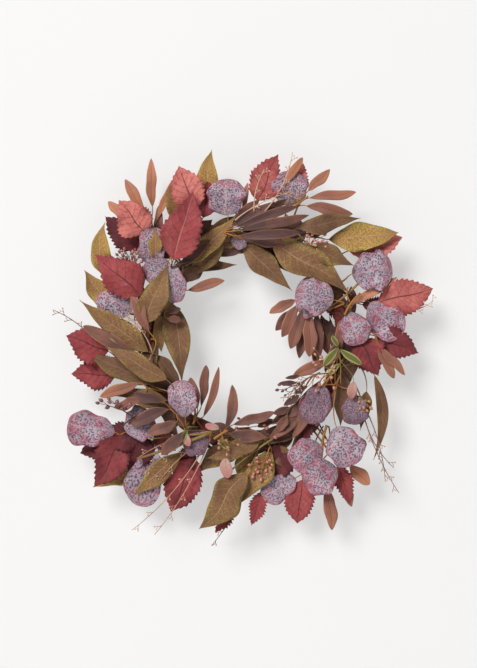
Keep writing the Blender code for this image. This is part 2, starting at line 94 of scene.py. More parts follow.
# %% Shader helper
class Shade:
    """A node socket that ordinary arithmetic can be written with."""

    def __init__(self, tree, socket=None):
        self.tree = tree
        self.socket = socket

    def node(self, kind, settings, values, output=0):
        """Adds a node: its settings first, then its values and links."""
        made = self.tree.nodes.new(kind)
        for name, setting in settings.items():
            setattr(made, name, setting)
        for key, value in values.items():
            if isinstance(value, Shade):
                self.tree.links.new(value.socket, made.inputs[key])
            else:
                made.inputs[key].default_value = value
        return Shade(self.tree, made.outputs[output])

    def math(self, operation, *values):
        return self.node("ShaderNodeMath", {"operation": operation}, dict(enumerate(values)))

    def __add__(self, other):
        return self.math("ADD", self, other)

    def __radd__(self, other):
        return self.math("ADD", other, self)

    def __sub__(self, other):
        return self.math("SUBTRACT", self, other)

    def __rsub__(self, other):
        return self.math("SUBTRACT", other, self)

    def __mul__(self, other):
        return self.math("MULTIPLY", self, other)

    def __abs__(self):
        return self.math("ABSOLUTE", self)

    def fraction(self):
        return self.math("FRACT", self)

    def highest(self, other):
        return self.math("MAXIMUM", self, other)

    def step(self, low, high):
        """0 below low, 1 above high, smooth between; low may be the larger."""
        flip = low > high
        span = (high, low) if flip else (low, high)
        ends = (1.0, 0.0) if flip else (0.0, 1.0)
        values = {0: self, 1: span[0], 2: span[1], 3: ends[0], 4: ends[1]}
        return self.node("ShaderNodeMapRange", {"interpolation_type": "SMOOTHSTEP"}, values)

    def mix(self, first, second):
        """Colour between two colours, by this factor."""
        return self.node("ShaderNodeMix", {"data_type": "RGBA"},
                         {0: self, 6: first, 7: second}, 2)

    def part(self, name):
        """One part of a vector."""
        return self.node("ShaderNodeSeparateXYZ", {}, {0: self}, name)

    def vector(self, x, y, z):
        return self.node("ShaderNodeCombineXYZ", {}, {0: x, 1: y, 2: z})

    def noise(self, scale, detail=3.0, roughness=0.55):
        values = {"Vector": self, "Scale": scale, "Detail": detail, "Roughness": roughness}
        return self.node("ShaderNodeTexNoise", {}, values)

    def cells(self, scale, feature="F1"):
        return self.node("ShaderNodeTexVoronoi", {"feature": feature},
                         {"Vector": self, "Scale": scale}, "Distance")

    def bump(self, strength, distance):
        return self.node("ShaderNodeBump", {},
                         {"Height": self, "Strength": strength, "Distance": distance})


def rgb(red, green, blue):
    return (red, green, blue, 1.0)


def start_material(name, constants):
    """A Principled material: its tools for reading coordinates, and its shader."""
    material = bpy.data.materials.new(name)
    material.use_nodes = True
    shader = material.node_tree.nodes["Principled BSDF"]
    for key, value in constants.items():
        shader.inputs[key].default_value = value
    return material, Shade(material.node_tree), shader


def wire(shader, key, value):
    value.tree.links.new(value.socket, shader.inputs[key])


def dress(shader, colour, roughness, normal):
    """Puts the three values that every finish has on its shader."""
    wire(shader, "Base Color", colour)
    wire(shader, "Roughness", roughness)
    wire(shader, "Normal", normal)


def object_place(tool):
    return tool.node("ShaderNodeTexCoord", {}, {}, "Object")


def attribute(tool, name):
    return tool.node("ShaderNodeAttribute", {"attribute_name": name}, {}, "Fac")


print("shader tools ready")

# %% [markdown]
# ## Leaf fabrics
# The leaves are die-cut polyester. Ink printed on the cloth gives each kind its look, and a
# heated press gives it veins that stand slightly proud. So one set of vein lines drives both
# colour and bump, and a fine weave lies over everything. A leaf's own tone moves it between
# its darkest and its brightest colour: partly its dye, and partly painted light, with lit
# leaves given a high tone and shaded leaves a low one.

# %% Vein lines shared by the leaf finishes
def leaf_lines(tool, size_mm, veins, lean):
    """Coordinates and vein masks of a leaf: across 0 to 1, along 0 to 1."""
    spot = tool.node("ShaderNodeUVMap", {"uv_map": "leaf"}, {})
    u, v = spot.part("X"), spot.part("Y")
    wobble = object_place(tool).noise(60.0, 2.0) - 0.5
    out = abs(u - 0.5) * 2.0
    flow = (v - out * lean + wobble * 0.05) * veins
    ridge = abs(flow.fraction() - 0.5)
    # the tone is partly the leaf's dye and partly painted light: high on lit leaves, low on shaded
    # ones
    tone = attribute(tool, "tone")
    plane = tool.vector((u - 0.5) * size_mm[0], v * size_mm[1], tone * 40.0)
    return {"v": v, "out": out, "plane": plane,
            "midrib": (out + wobble * 0.02).step(0.06, 0.015),
            "side": ridge.step(0.085, 0.02) * out.step(0.98, 0.8),
            "tone": tone, "pale": attribute(tool, "pale")}


def weave(tool):
    """Threads of the cloth, crossing every 0.5 mm."""
    values = {"Vector": object_place(tool), "Scale": 620.0, "Distortion": 1.5}
    warp, weft = (tool.node("ShaderNodeTexWave", {"bands_direction": axis}, values, 1)
                  for axis in "XZ")
    return warp.highest(weft)


def finish_leaf(parts, colour, relief, roughness):
    """Puts the colour, vein relief, weave and roughness of a leaf on its shader."""
    material, tool, shader = parts
    threads = weave(tool)
    dress(shader, (threads * 0.16).mix(colour, rgb(0.02, 0.01, 0.01)),
          roughness + threads * 0.1, (relief + threads * 0.12).bump(0.7, 0.0004))
    return material


# %% Red serrated leaves
def red_fabric():
    parts = start_material("red_leaf", {"Sheen Weight": 0.08, "Specular IOR Level": 0.3})
    lines = leaf_lines(parts[1], (40.0, 55.0), 7.0, 0.24)
    place = object_place(parts[1])
    cloud = place.noise(28.0, 4.0)
    # the leaf's tone moves the red from dark burgundy to coral; it is partly dye and partly
    # painted light, brighter on lit leaves and darker on shaded ones
    level = lines["tone"] + (cloud - 0.5) * 0.9 - lines["out"].step(0.75, 1.05) * 0.15
    ground = level.step(0.0, 0.55).mix(rgb(0.095, 0.013, 0.019), rgb(0.36, 0.055, 0.060))
    ground = level.step(0.5, 1.1).mix(ground, rgb(0.76, 0.235, 0.200))
    speck = place.noise(260.0, 3.0).step(0.48, 0.62) * 0.3
    ground = speck.mix(ground, rgb(0.10, 0.015, 0.02))
    net = lines["plane"].cells(0.42, "DISTANCE_TO_EDGE").step(0.10, 0.02)
    ground = (lines["side"].highest(net * 0.3) * 0.38).mix(ground, rgb(0.07, 0.008, 0.014))
    ink = lines["pale"].mix(rgb(0.055, 0.008, 0.012), rgb(0.60, 0.26, 0.22))
    colour = (lines["midrib"] * (0.8 - lines["pale"] * 0.25)).mix(ground, ink)
    relief = lines["midrib"] + lines["side"] * 0.6 + net * 0.25
    return finish_leaf(parts, colour, relief, 0.58 - lines["midrib"] * 0.1)


# %% Eucalyptus leaves
def gum_fabric():
    parts = start_material("gum_leaf", {"Sheen Weight": 0.08, "Specular IOR Level": 0.35})
    lines = leaf_lines(parts[1], (40.0, 44.0), 6.0, 0.30)
    cloud = object_place(parts[1]).noise(45.0, 4.0)
    ground = cloud.step(0.3, 0.7).mix(rgb(0.35, 0.29, 0.36), rgb(0.60, 0.52, 0.60))
    grain = lines["plane"].noise(0.55, 3.0, 0.7)
    cell = lines["plane"].cells(0.46)
    spots = (cell + (grain - 0.5) * 0.9).step(0.54, 0.34)
    fine = lines["plane"].noise(0.85, 3.0, 0.8).step(0.48, 0.58)
    ink = lines["plane"].noise(0.13, 2.0).step(0.50, 0.66)
    dye = ink.mix(rgb(0.085, 0.030, 0.062), rgb(0.33, 0.050, 0.085))
    colour = (spots * 0.85).mix(ground, dye)
    colour = (fine * 0.6).mix(colour, dye)
    rim = (lines["out"] + (cloud - 0.5) * 0.7).step(0.62, 1.0)
    tip = (lines["v"] + (cloud - 0.5) * 0.5).step(0.72, 1.0)
    edge = rim.highest(tip) * (0.25 + ink * 0.6)
    colour = edge.mix(colour, rgb(0.40, 0.075, 0.12))
    blotch = lines["plane"].noise(0.11, 2.0).step(0.50, 0.60) * lines["tone"].step(0.6, 0.9)
    blotch = blotch * (1.0 - lines["side"])
    colour = (blotch * 0.7).mix(colour, rgb(0.36, 0.05, 0.10))
    ribs = lines["midrib"].highest(lines["side"] * 0.45)
    colour = (ribs * 0.6).mix(colour, rgb(0.62, 0.40, 0.44))
    # painted shade: leaves of low tone, which lie in shade, are darkened towards plum
    shade = lines["tone"].step(0.45, 0.0)
    colour = (shade * 0.72).mix(colour, rgb(0.085, 0.02, 0.045))
    relief = lines["midrib"] + lines["side"] * 0.5 - spots * 0.2
    return finish_leaf(parts, colour, relief, 0.52 + spots * 0.12)


# %% Olive leaves
def sage_fabric():
    parts = start_material("sage_leaf", {"Sheen Weight": 0.08, "Specular IOR Level": 0.3})
    lines = leaf_lines(parts[1], (28.0, 80.0), 11.0, 0.16)
    cloud = object_place(parts[1]).noise(34.0, 4.0)
    # the leaf's tone moves it from dark olive to ochre; it is partly dye and partly painted light,
    # brighter on lit leaves and darker on shaded ones
    level = lines["tone"] + (cloud - 0.5) * 0.8
    ground = level.step(0.0, 0.6).mix(rgb(0.070, 0.030, 0.018), rgb(0.33, 0.170, 0.064))
    ground = level.step(0.5, 1.05).mix(ground, rgb(0.60, 0.35, 0.080))
    rim = (lines["out"] + (cloud - 0.5) * 1.1).step(0.55, 1.0)
    green = level.step(0.1, 0.9).mix(rgb(0.19, 0.135, 0.024), rgb(0.58, 0.45, 0.085))
    colour = (rim * 0.5).mix(ground, green)
    cells = lines["plane"].cells(0.45, "DISTANCE_TO_EDGE").step(0.18, 0.03)
    speck = lines["plane"].noise(0.50, 4.0, 0.8).step(0.48, 0.54)
    light = lines["plane"].noise(0.42, 4.0, 0.8).step(0.52, 0.58)
    colour = (cells * 0.45).mix(colour, rgb(0.085, 0.032, 0.030))
    colour = (speck * 0.6).mix(colour, rgb(0.17, 0.068, 0.045))
    colour = (light * (0.25 + rim * 0.5)).mix(colour, green)
    ribs = lines["midrib"].highest(lines["side"] * 0.55)
    rib_ink = level.step(0.0, 0.8).mix(rgb(0.22, 0.10, 0.07), rgb(0.56, 0.36, 0.20))
    colour = (ribs * 0.75).mix(colour, rib_ink)
    relief = lines["midrib"] + lines["side"] * 0.5 + cells * 0.35
    return finish_leaf(parts, colour, relief, 0.6 - ribs * 0.1)


# %% Narrow copper leaves
def long_veins(lines):
    """Fine parallel veins that run the length of a narrow leaf."""
    rows = lines["out"] * 4.0 + lines["plane"].noise(0.25, 2.0) * 0.8
    return abs(rows.fraction() - 0.5).step(0.30, 0.08)


def copper_fabric():
    parts = start_material("copper_leaf", {"Sheen Weight": 0.12, "Specular IOR Level": 0.45})
    lines = leaf_lines(parts[1], (12.0, 60.0), 3.0, 0.5)
    cloud = object_place(parts[1]).noise(40.0, 3.0)
    # the leaf's tone moves it from dark purple-brown to bright copper; it is partly dye and partly
    # painted light, with lit leaves at the copper end and shaded ones at the dark end
    level = lines["tone"] + (cloud - 0.5) * 0.7 + (lines["v"] - 0.5) * 0.25
    ground = level.step(0.0, 0.5).mix(rgb(0.080, 0.029, 0.026), rgb(0.30, 0.112, 0.072))
    ground = level.step(0.45, 1.0).mix(ground, rgb(0.60, 0.235, 0.120))
    streak = long_veins(lines)
    colour = (streak * 0.32).mix(ground, rgb(0.075, 0.026, 0.026))
    rim = lines["out"].step(0.7, 1.0)
    colour = (rim * 0.35).mix(colour, rgb(0.40, 0.17, 0.08))
    colour = (lines["midrib"] * 0.45).mix(colour, rgb(0.10, 0.035, 0.03))
    relief = streak * 0.3 - lines["midrib"]
    return finish_leaf(parts, colour, relief, 0.5 + streak * 0.12)


# %% Small bud leaves, dyed pink or green
def bud_fabric():
    parts = start_material("bud_leaf", {"Sheen Weight": 0.08, "Specular IOR Level": 0.35})
    lines = leaf_lines(parts[1], (14.0, 24.0), 4.0, 0.4)
    pink = lines["v"].step(0.0, 1.0).mix(rgb(0.56, 0.36, 0.30), rgb(0.50, 0.20, 0.18))
    green = lines["out"].step(0.35, 0.95).mix(rgb(0.12, 0.13, 0.025), rgb(0.40, 0.39, 0.12))
    colour = lines["tone"].step(0.4, 0.6).mix(pink, green)
    grain = lines["plane"].noise(0.8, 3.0).step(0.45, 0.7)
    colour = (grain * 0.3).mix(colour, rgb(0.16, 0.06, 0.04))
    colour = (lines["midrib"] * 0.5).mix(colour, rgb(0.45, 0.28, 0.12))
    return finish_leaf(parts, colour, lines["midrib"] + lines["side"] * 0.4, 0.55 + grain * 0.1)


# %% [markdown]
# ## Stems, beads, grass, vines and wire
# Stems are wire in moulded plastic, brown-black to ochre to olive, mottled by the mould.
# Beads are foam berries under a satin lacquer. Grass sprigs are thin moulded plastic. The
# ring is real vine, with bark that splits along its length, held by dark painted wire.

# %% Other finishes
def three_tones(tone, first, second, third):
    low = tone.step(0.0, 0.5).mix(first, second)
    return tone.step(0.5, 1.0).mix(low, third)


def stem_plastic():
    material, tool, shader = start_material("stem", {"Specular IOR Level": 0.4})
    mottle = object_place(tool).noise(180.0, 4.0)
    colour = three_tones(attribute(tool, "tone"), rgb(0.028, 0.012, 0.009),
                         rgb(0.36, 0.150, 0.032), rgb(0.20, 0.165, 0.045))
    colour = (mottle.step(0.45, 0.75) * 0.55).mix(colour, rgb(0.060, 0.028, 0.012))
    dress(shader, colour, 0.42 + mottle * 0.25, mottle.bump(0.6, 0.0005))
    return material


def bead_lacquer():
    material, tool, shader = start_material("bead", {"Coat Roughness": 0.25})
    cloud = object_place(tool).noise(260.0, 3.0)
    colour = three_tones(attribute(tool, "tone"), rgb(0.115, 0.030, 0.048),
                         rgb(0.55, 0.22, 0.165), rgb(0.46, 0.25, 0.085))
    colour = (cloud.step(0.5, 0.8) * 0.5).mix(colour, rgb(0.10, 0.030, 0.026))
    dress(shader, colour, 0.34 + cloud * 0.2, cloud.bump(0.4, 0.0004))
    wire(shader, "Coat Weight", 0.15 + cloud * 0.3)
    return material


def grass_plastic():
    material, tool, shader = start_material("grass", {"Specular IOR Level": 0.4})
    place = object_place(tool)
    cloud = place.noise(90.0, 3.0)
    colour = three_tones(attribute(tool, "tone"), rgb(0.10, 0.042, 0.045),
                         rgb(0.50, 0.27, 0.17), rgb(0.62, 0.40, 0.28))
    colour = (cloud.step(0.5, 0.75) * 0.4).mix(colour, rgb(0.22, 0.09, 0.055))
    dress(shader, colour, 0.45 + cloud * 0.2, place.noise(900.0).bump(0.4, 0.0003))
    return material


def vine_bark():
    material, tool, shader = start_material("vine", {"Specular IOR Level": 0.25})
    spot = tool.node("ShaderNodeUVMap", {"uv_map": "leaf"}, {})
    plane = tool.vector(spot.part("X") * 9.0, spot.part("Y") * 60.0, 0.0)
    fibre = plane.noise(1.6, 5.0, 0.7)
    patch = object_place(tool).noise(50.0, 3.0)
    colour = fibre.step(0.35, 0.65).mix(rgb(0.045, 0.022, 0.012), rgb(0.20, 0.115, 0.06))
    colour = (patch.step(0.5, 0.7) * 0.5).mix(colour, rgb(0.10, 0.07, 0.05))
    dress(shader, colour, 0.72 + fibre * 0.2, (fibre + patch * 0.5).bump(0.9, 0.0012))
    return material


def dark_wire():
    material, tool, shader = start_material("wire", {"Metallic": 0.85})
    worn = object_place(tool).noise(320.0, 3.0)
    colour = worn.step(0.45, 0.7).mix(rgb(0.045, 0.036, 0.028), rgb(0.17, 0.135, 0.10))
    dress(shader, colour, 0.30 + worn * 0.3, worn.bump(0.3, 0.0002))
    return material


FINISHES = {"red": red_fabric(), "gum": gum_fabric(), "sage": sage_fabric(),
            "copper": copper_fabric(), "bud": bud_fabric(), "stem": stem_plastic(),
            "bead": bead_lacquer(), "grass": grass_plastic(), "vine": vine_bark(),
            "wire": dark_wire()}
print("finishes:", ", ".join(FINISHES))

# %% [markdown]
# ## Leaf and stem shapes
# A leaf is cut from a flat sheet, so it starts as a flat grid whose UV is set before it is
# bent. The outline is a power curve from the stalk to the tip, with teeth pressed forward
# on the serrated kind. Then the sheet is folded at its midrib, pleated at its side veins,
# waved along its edge, twisted and curled, and is thickened like the cloth it is. A stem is
# the same grid rolled into a tube along a line.

# %% Sheets and rods
class Draft:
    """A mesh being made, in millimetres, with its UV and its own values."""

    def __init__(self):
        self.bm = bmesh.new()
        self.uv = self.bm.loops.layers.uv.new("leaf")
        self.tone = self.bm.verts.layers.float.new("tone")
        self.pale = self.bm.verts.layers.float.new("pale")

    def grid(self, across, along, ease=False):
        """A flat grid: its vertices with (u, v), which also become its UV."""
        made = bmesh.ops.create_grid(self.bm, x_segments=across, y_segments=along, size=0.5)
        spots = {}
        for vert in made["verts"]:
            v = vert.co.y + 0.5
            v = 0.5 - 0.5 * math.cos(math.pi * v) if ease else v
            spots[vert] = (vert.co.x + 0.5, min(max(v, 0.0), 1.0))
        for face in {face for vert in spots for face in vert.link_faces}:
            face.smooth = True
            for loop in face.loops:
                loop[self.uv].uv = spots[loop.vert]
        return spots

    def mark(self, verts, tone, pale=0.0, slot=0):
        """Stores the tone of some vertices, and the material slot of their faces."""
        for vert in verts:
            vert[self.tone] = tone
            vert[self.pale] = pale
        for face in {face for vert in verts for face in vert.link_faces}:
            face.material_index = slot

    def rod(self, points, radii, sides=6, tone=0.5, slot=1):
        """A grid rolled round a line of points, closed at both ends."""
        last = len(points) - 1
        spots = self.grid(sides, last)
        axes = [cross_axes(points[min(i + 1, last)] - points[max(i - 1, 0)])
                for i in range(last + 1)]
        for vert, (u, v) in spots.items():
            i = round(v * last)
            side, front = axes[i]
            turn = 2.0 * math.pi * u
            vert.co = points[i] + (side * math.cos(turn) + front * math.sin(turn)) * radii[i]
        verts = list(spots)
        bmesh.ops.remove_doubles(self.bm, verts=verts, dist=WELD_DISTANCE)
        verts = [vert for vert in verts if vert.is_valid]
        rims = [edge for edge in {edge for vert in verts for edge in vert.link_edges}
                if edge.is_boundary]
        bmesh.ops.holes_fill(self.bm, edges=rims, sides=sides)
        self.mark(verts, tone, slot=slot)

    def ball(self, place, radius, run, stretch=1.0, tone=0.5, slot=0):
        """A small berry, longer along its stalk when stretch is over 1."""
        aim = run.to_track_quat("Z", "Y").to_matrix().to_4x4()
        size = Matrix.Diagonal((radius, radius, radius * stretch, 1.0))
        made = bmesh.ops.create_uvsphere(self.bm, u_segments=8, v_segments=6, radius=1.0,
                                         matrix=Matrix.Translation(place) @ aim @ size)
        self.mark(made["verts"], tone, slot=slot)
        for face in {face for vert in made["verts"] for face in vert.link_faces}:
            face.smooth = True

    def thicken(self):
        """Gives the bent sheets made so far the thickness of cloth."""
        bmesh.ops.solidify(self.bm, geom=self.bm.faces[:], thickness=LEAF_SHEET)

    def finish(self, name, body, kind, second=None, replaces=()):
        """The finished object, riding on its body."""
        bmesh.ops.scale(self.bm, vec=(MM, MM, MM), verts=self.bm.verts[:])
        mesh = bpy.data.meshes.new(name)
        self.bm.to_mesh(mesh)
        self.bm.free()
        mesh.materials.append(FINISHES[kind])
        mesh.materials.append(FINISHES[second or kind])
        piece = bpy.data.objects.new(name, mesh)
        bpy.context.scene.collection.objects.link(piece)
        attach(piece, body)
        if replaces:
            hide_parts(*replaces)
        return piece


def cross_axes(run):
    """Across and front directions of something that runs in a direction."""
    run = run.normalized()
    side = run.cross(OUTWARDS)
    if side.length < 0.05:
        side = Vector((1.0, 0.0, 0.0))
    side.normalize()
    return side, side.cross(run).normalized()


def curve_points(start, start_run, end, end_run, steps):
    """A smooth line between two places, leaving and arriving in the given directions."""
    reach = (end - start).length
    first = start + start_run.normalized() * reach * 0.33
    second = end - end_run.normalized() * reach * 0.33
    points = []
    for i in range(steps + 1):
        t = i / steps
        k = 1.0 - t
        points.append(start * k ** 3 + first * (3.0 * k * k * t)
                      + second * (3.0 * k * t * t) + end * t ** 3)
    return points


# %% Leaf forms
# outline powers at stalk and tip, teeth, side veins and their lean, fold of each half in
# degrees, pleat depth, edge wave, twist in degrees, tip curl, sway of the midrib, ripple of
# the outline, notch at the tip, and grid
FORMS = {
    "red": {"low": 0.80, "high": 1.20, "teeth": 12, "bite": 3.0, "veins": 7.0, "lean": 0.24,
            "fold": 28.0, "pleat": 1.0, "wave": 0.16, "twist": 10.0, "curl": 0.14,
            "sway": 0.2, "ripple": 0.05, "notch": 0.0, "grid": (12, 78)},
    "gum": {"low": 0.55, "high": 0.40, "teeth": 0, "bite": 0.0, "veins": 6.0, "lean": 0.30,
            "fold": 9.0, "pleat": 0.3, "wave": 0.12, "twist": 8.0, "curl": 0.10,
            "sway": 0.15, "ripple": 0.08, "notch": 0.06, "grid": (12, 30)},
    "sage": {"low": 0.90, "high": 1.40, "teeth": 0, "bite": 0.0, "veins": 11.0, "lean": 0.16,
             "fold": 26.0, "pleat": 0.5, "wave": 0.22, "twist": 18.0, "curl": 0.12,
             "sway": 0.4, "ripple": 0.07, "notch": 0.0, "grid": (10, 44)},
    "copper": {"low": 0.85, "high": 0.75, "teeth": 0, "bite": 0.0, "veins": 3.0, "lean": 0.5,
               "fold": 22.0, "pleat": 0.0, "wave": 0.06, "twist": 15.0, "curl": 0.10,
               "sway": 0.35, "ripple": 0.06, "notch": 0.0, "grid": (8, 26)},
    "bud": {"low": 0.7, "high": 0.6, "teeth": 0, "bite": 0.0, "veins": 4.0, "lean": 0.4,
            "fold": 22.0, "pleat": 0.0, "wave": 0.05, "twist": 8.0, "curl": 0.05,
            "sway": 0.2, "ripple": 0.0, "notch": 0.0, "grid": (8, 18)},
}
STEM_TONES = {"red": 0.08, "gum": 0.5, "sage": 0.85, "copper": 0.55, "bud": 0.9}


def leaf_line(row, joint_depth):
    """Where a leaf runs: its start, run, axes, half width, bow and sweep."""
    tone, base, tip, width, rise, tilt, bow = row[:7]
    sweep = row[7] if len(row) > 7 else 0.0
    flat = Vector(tip) - Vector(base)
    origin = to_world(base[0], base[1], joint_depth + rise)
    run = Vector((flat.x, -flat.length * math.tan(math.radians(tilt)), flat.y))
    across, front = cross_axes(run)
    return {"tone": tone, "origin": origin, "run": run, "across": across, "front": front,
            "half": 0.5 * width, "bow": bow, "sweep": sweep}


def spread(low, high, v):
    """Share of the half width at a place along the leaf."""
    peak = low / (low + high)
    top = peak ** low * (1.0 - peak) ** high
    return v ** low * (1.0 - v) ** high / top


def leaf(draft, kind, row, joint_depth, rng, pale=0.0):
    """Adds one leaf, and returns where its stalk joins it and in which direction."""
    form = FORMS[kind]
    line = leaf_line(row, joint_depth)
    length = line["run"].length
    fold = math.tan(math.radians(form["fold"] * rng.uniform(0.4, 1.2)))
    twist = math.radians(form["twist"]) * rng.uniform(-1.0, 1.0)
    curl = form["curl"] * length * rng.uniform(-0.6, 1.0)
    phase = rng.random()
    waves = rng.uniform(1.3, 2.4)
    low = form["low"] * rng.uniform(0.85, 1.15)
    high = form["high"] * rng.uniform(0.85, 1.15)
    lop = rng.uniform(-0.1, 0.1)
    beat = rng.uniform(1.2, 2.6)
    sway = rng.uniform(-0.6, 0.6) * line["half"] * form["sway"]
    spots = draft.grid(*form["grid"], ease=not form["teeth"])
    for vert, (u, v) in spots.items():
        side = 2.0 * u - 1.0
        out = abs(side)
        ripple = form["ripple"] * math.sin(FULL_TURN * (v * beat + phase + 0.3 * (side > 0.0)))
        half = (line["half"] - 0.6 * form["bite"]) * spread(low, high, v)
        half *= 1.0 + lop * side + ripple
        half = max(half, 0.25)
        if form["teeth"]:
            tooth = (v * form["teeth"] + phase) % 1.0
            half += form["bite"] * tooth * out ** 5 * min(1.0, 6.0 * v, 5.0 * (1.0 - v))
        arch = 4.0 * v * (1.0 - v)
        pleat = abs((v - form["lean"] * out) * form["veins"] % 1.0 - 0.5) - 0.25
        height = out * half * fold * 0.6
        height -= form["pleat"] * pleat * 2.0 * min(1.0, 4.0 * out) * arch
        height += form["wave"] * half * out * out * math.sin(
            FULL_TURN * (v * waves + phase + 0.35 * (side > 0.0)))
        height -= curl * max(0.0, v - 0.5) ** 2 * 3.0
        angle = twist * (v - 0.2) * 2.0
        lateral = side * half + sway * math.sin(FULL_TURN * v) * arch
        across = line["across"] * math.cos(angle) + line["front"] * math.sin(angle)
        front = line["front"] * math.cos(angle) - line["across"] * math.sin(angle)
        reach = v - form["notch"] * (1.0 - out) ** 2 * v ** 8
        vert.co = (line["origin"] + line["run"] * reach + line["front"] * (line["bow"] * arch)
                   + line["across"] * (line["sweep"] * arch) + across * lateral
                   + front * height)
    draft.mark(spots, line["tone"], pale)
    start_run = line["run"] + (line["front"] * line["bow"] + line["across"] * line["sweep"]) * 4.0
    return line["origin"], start_run


print("leaf forms:", ", ".join(FORMS))
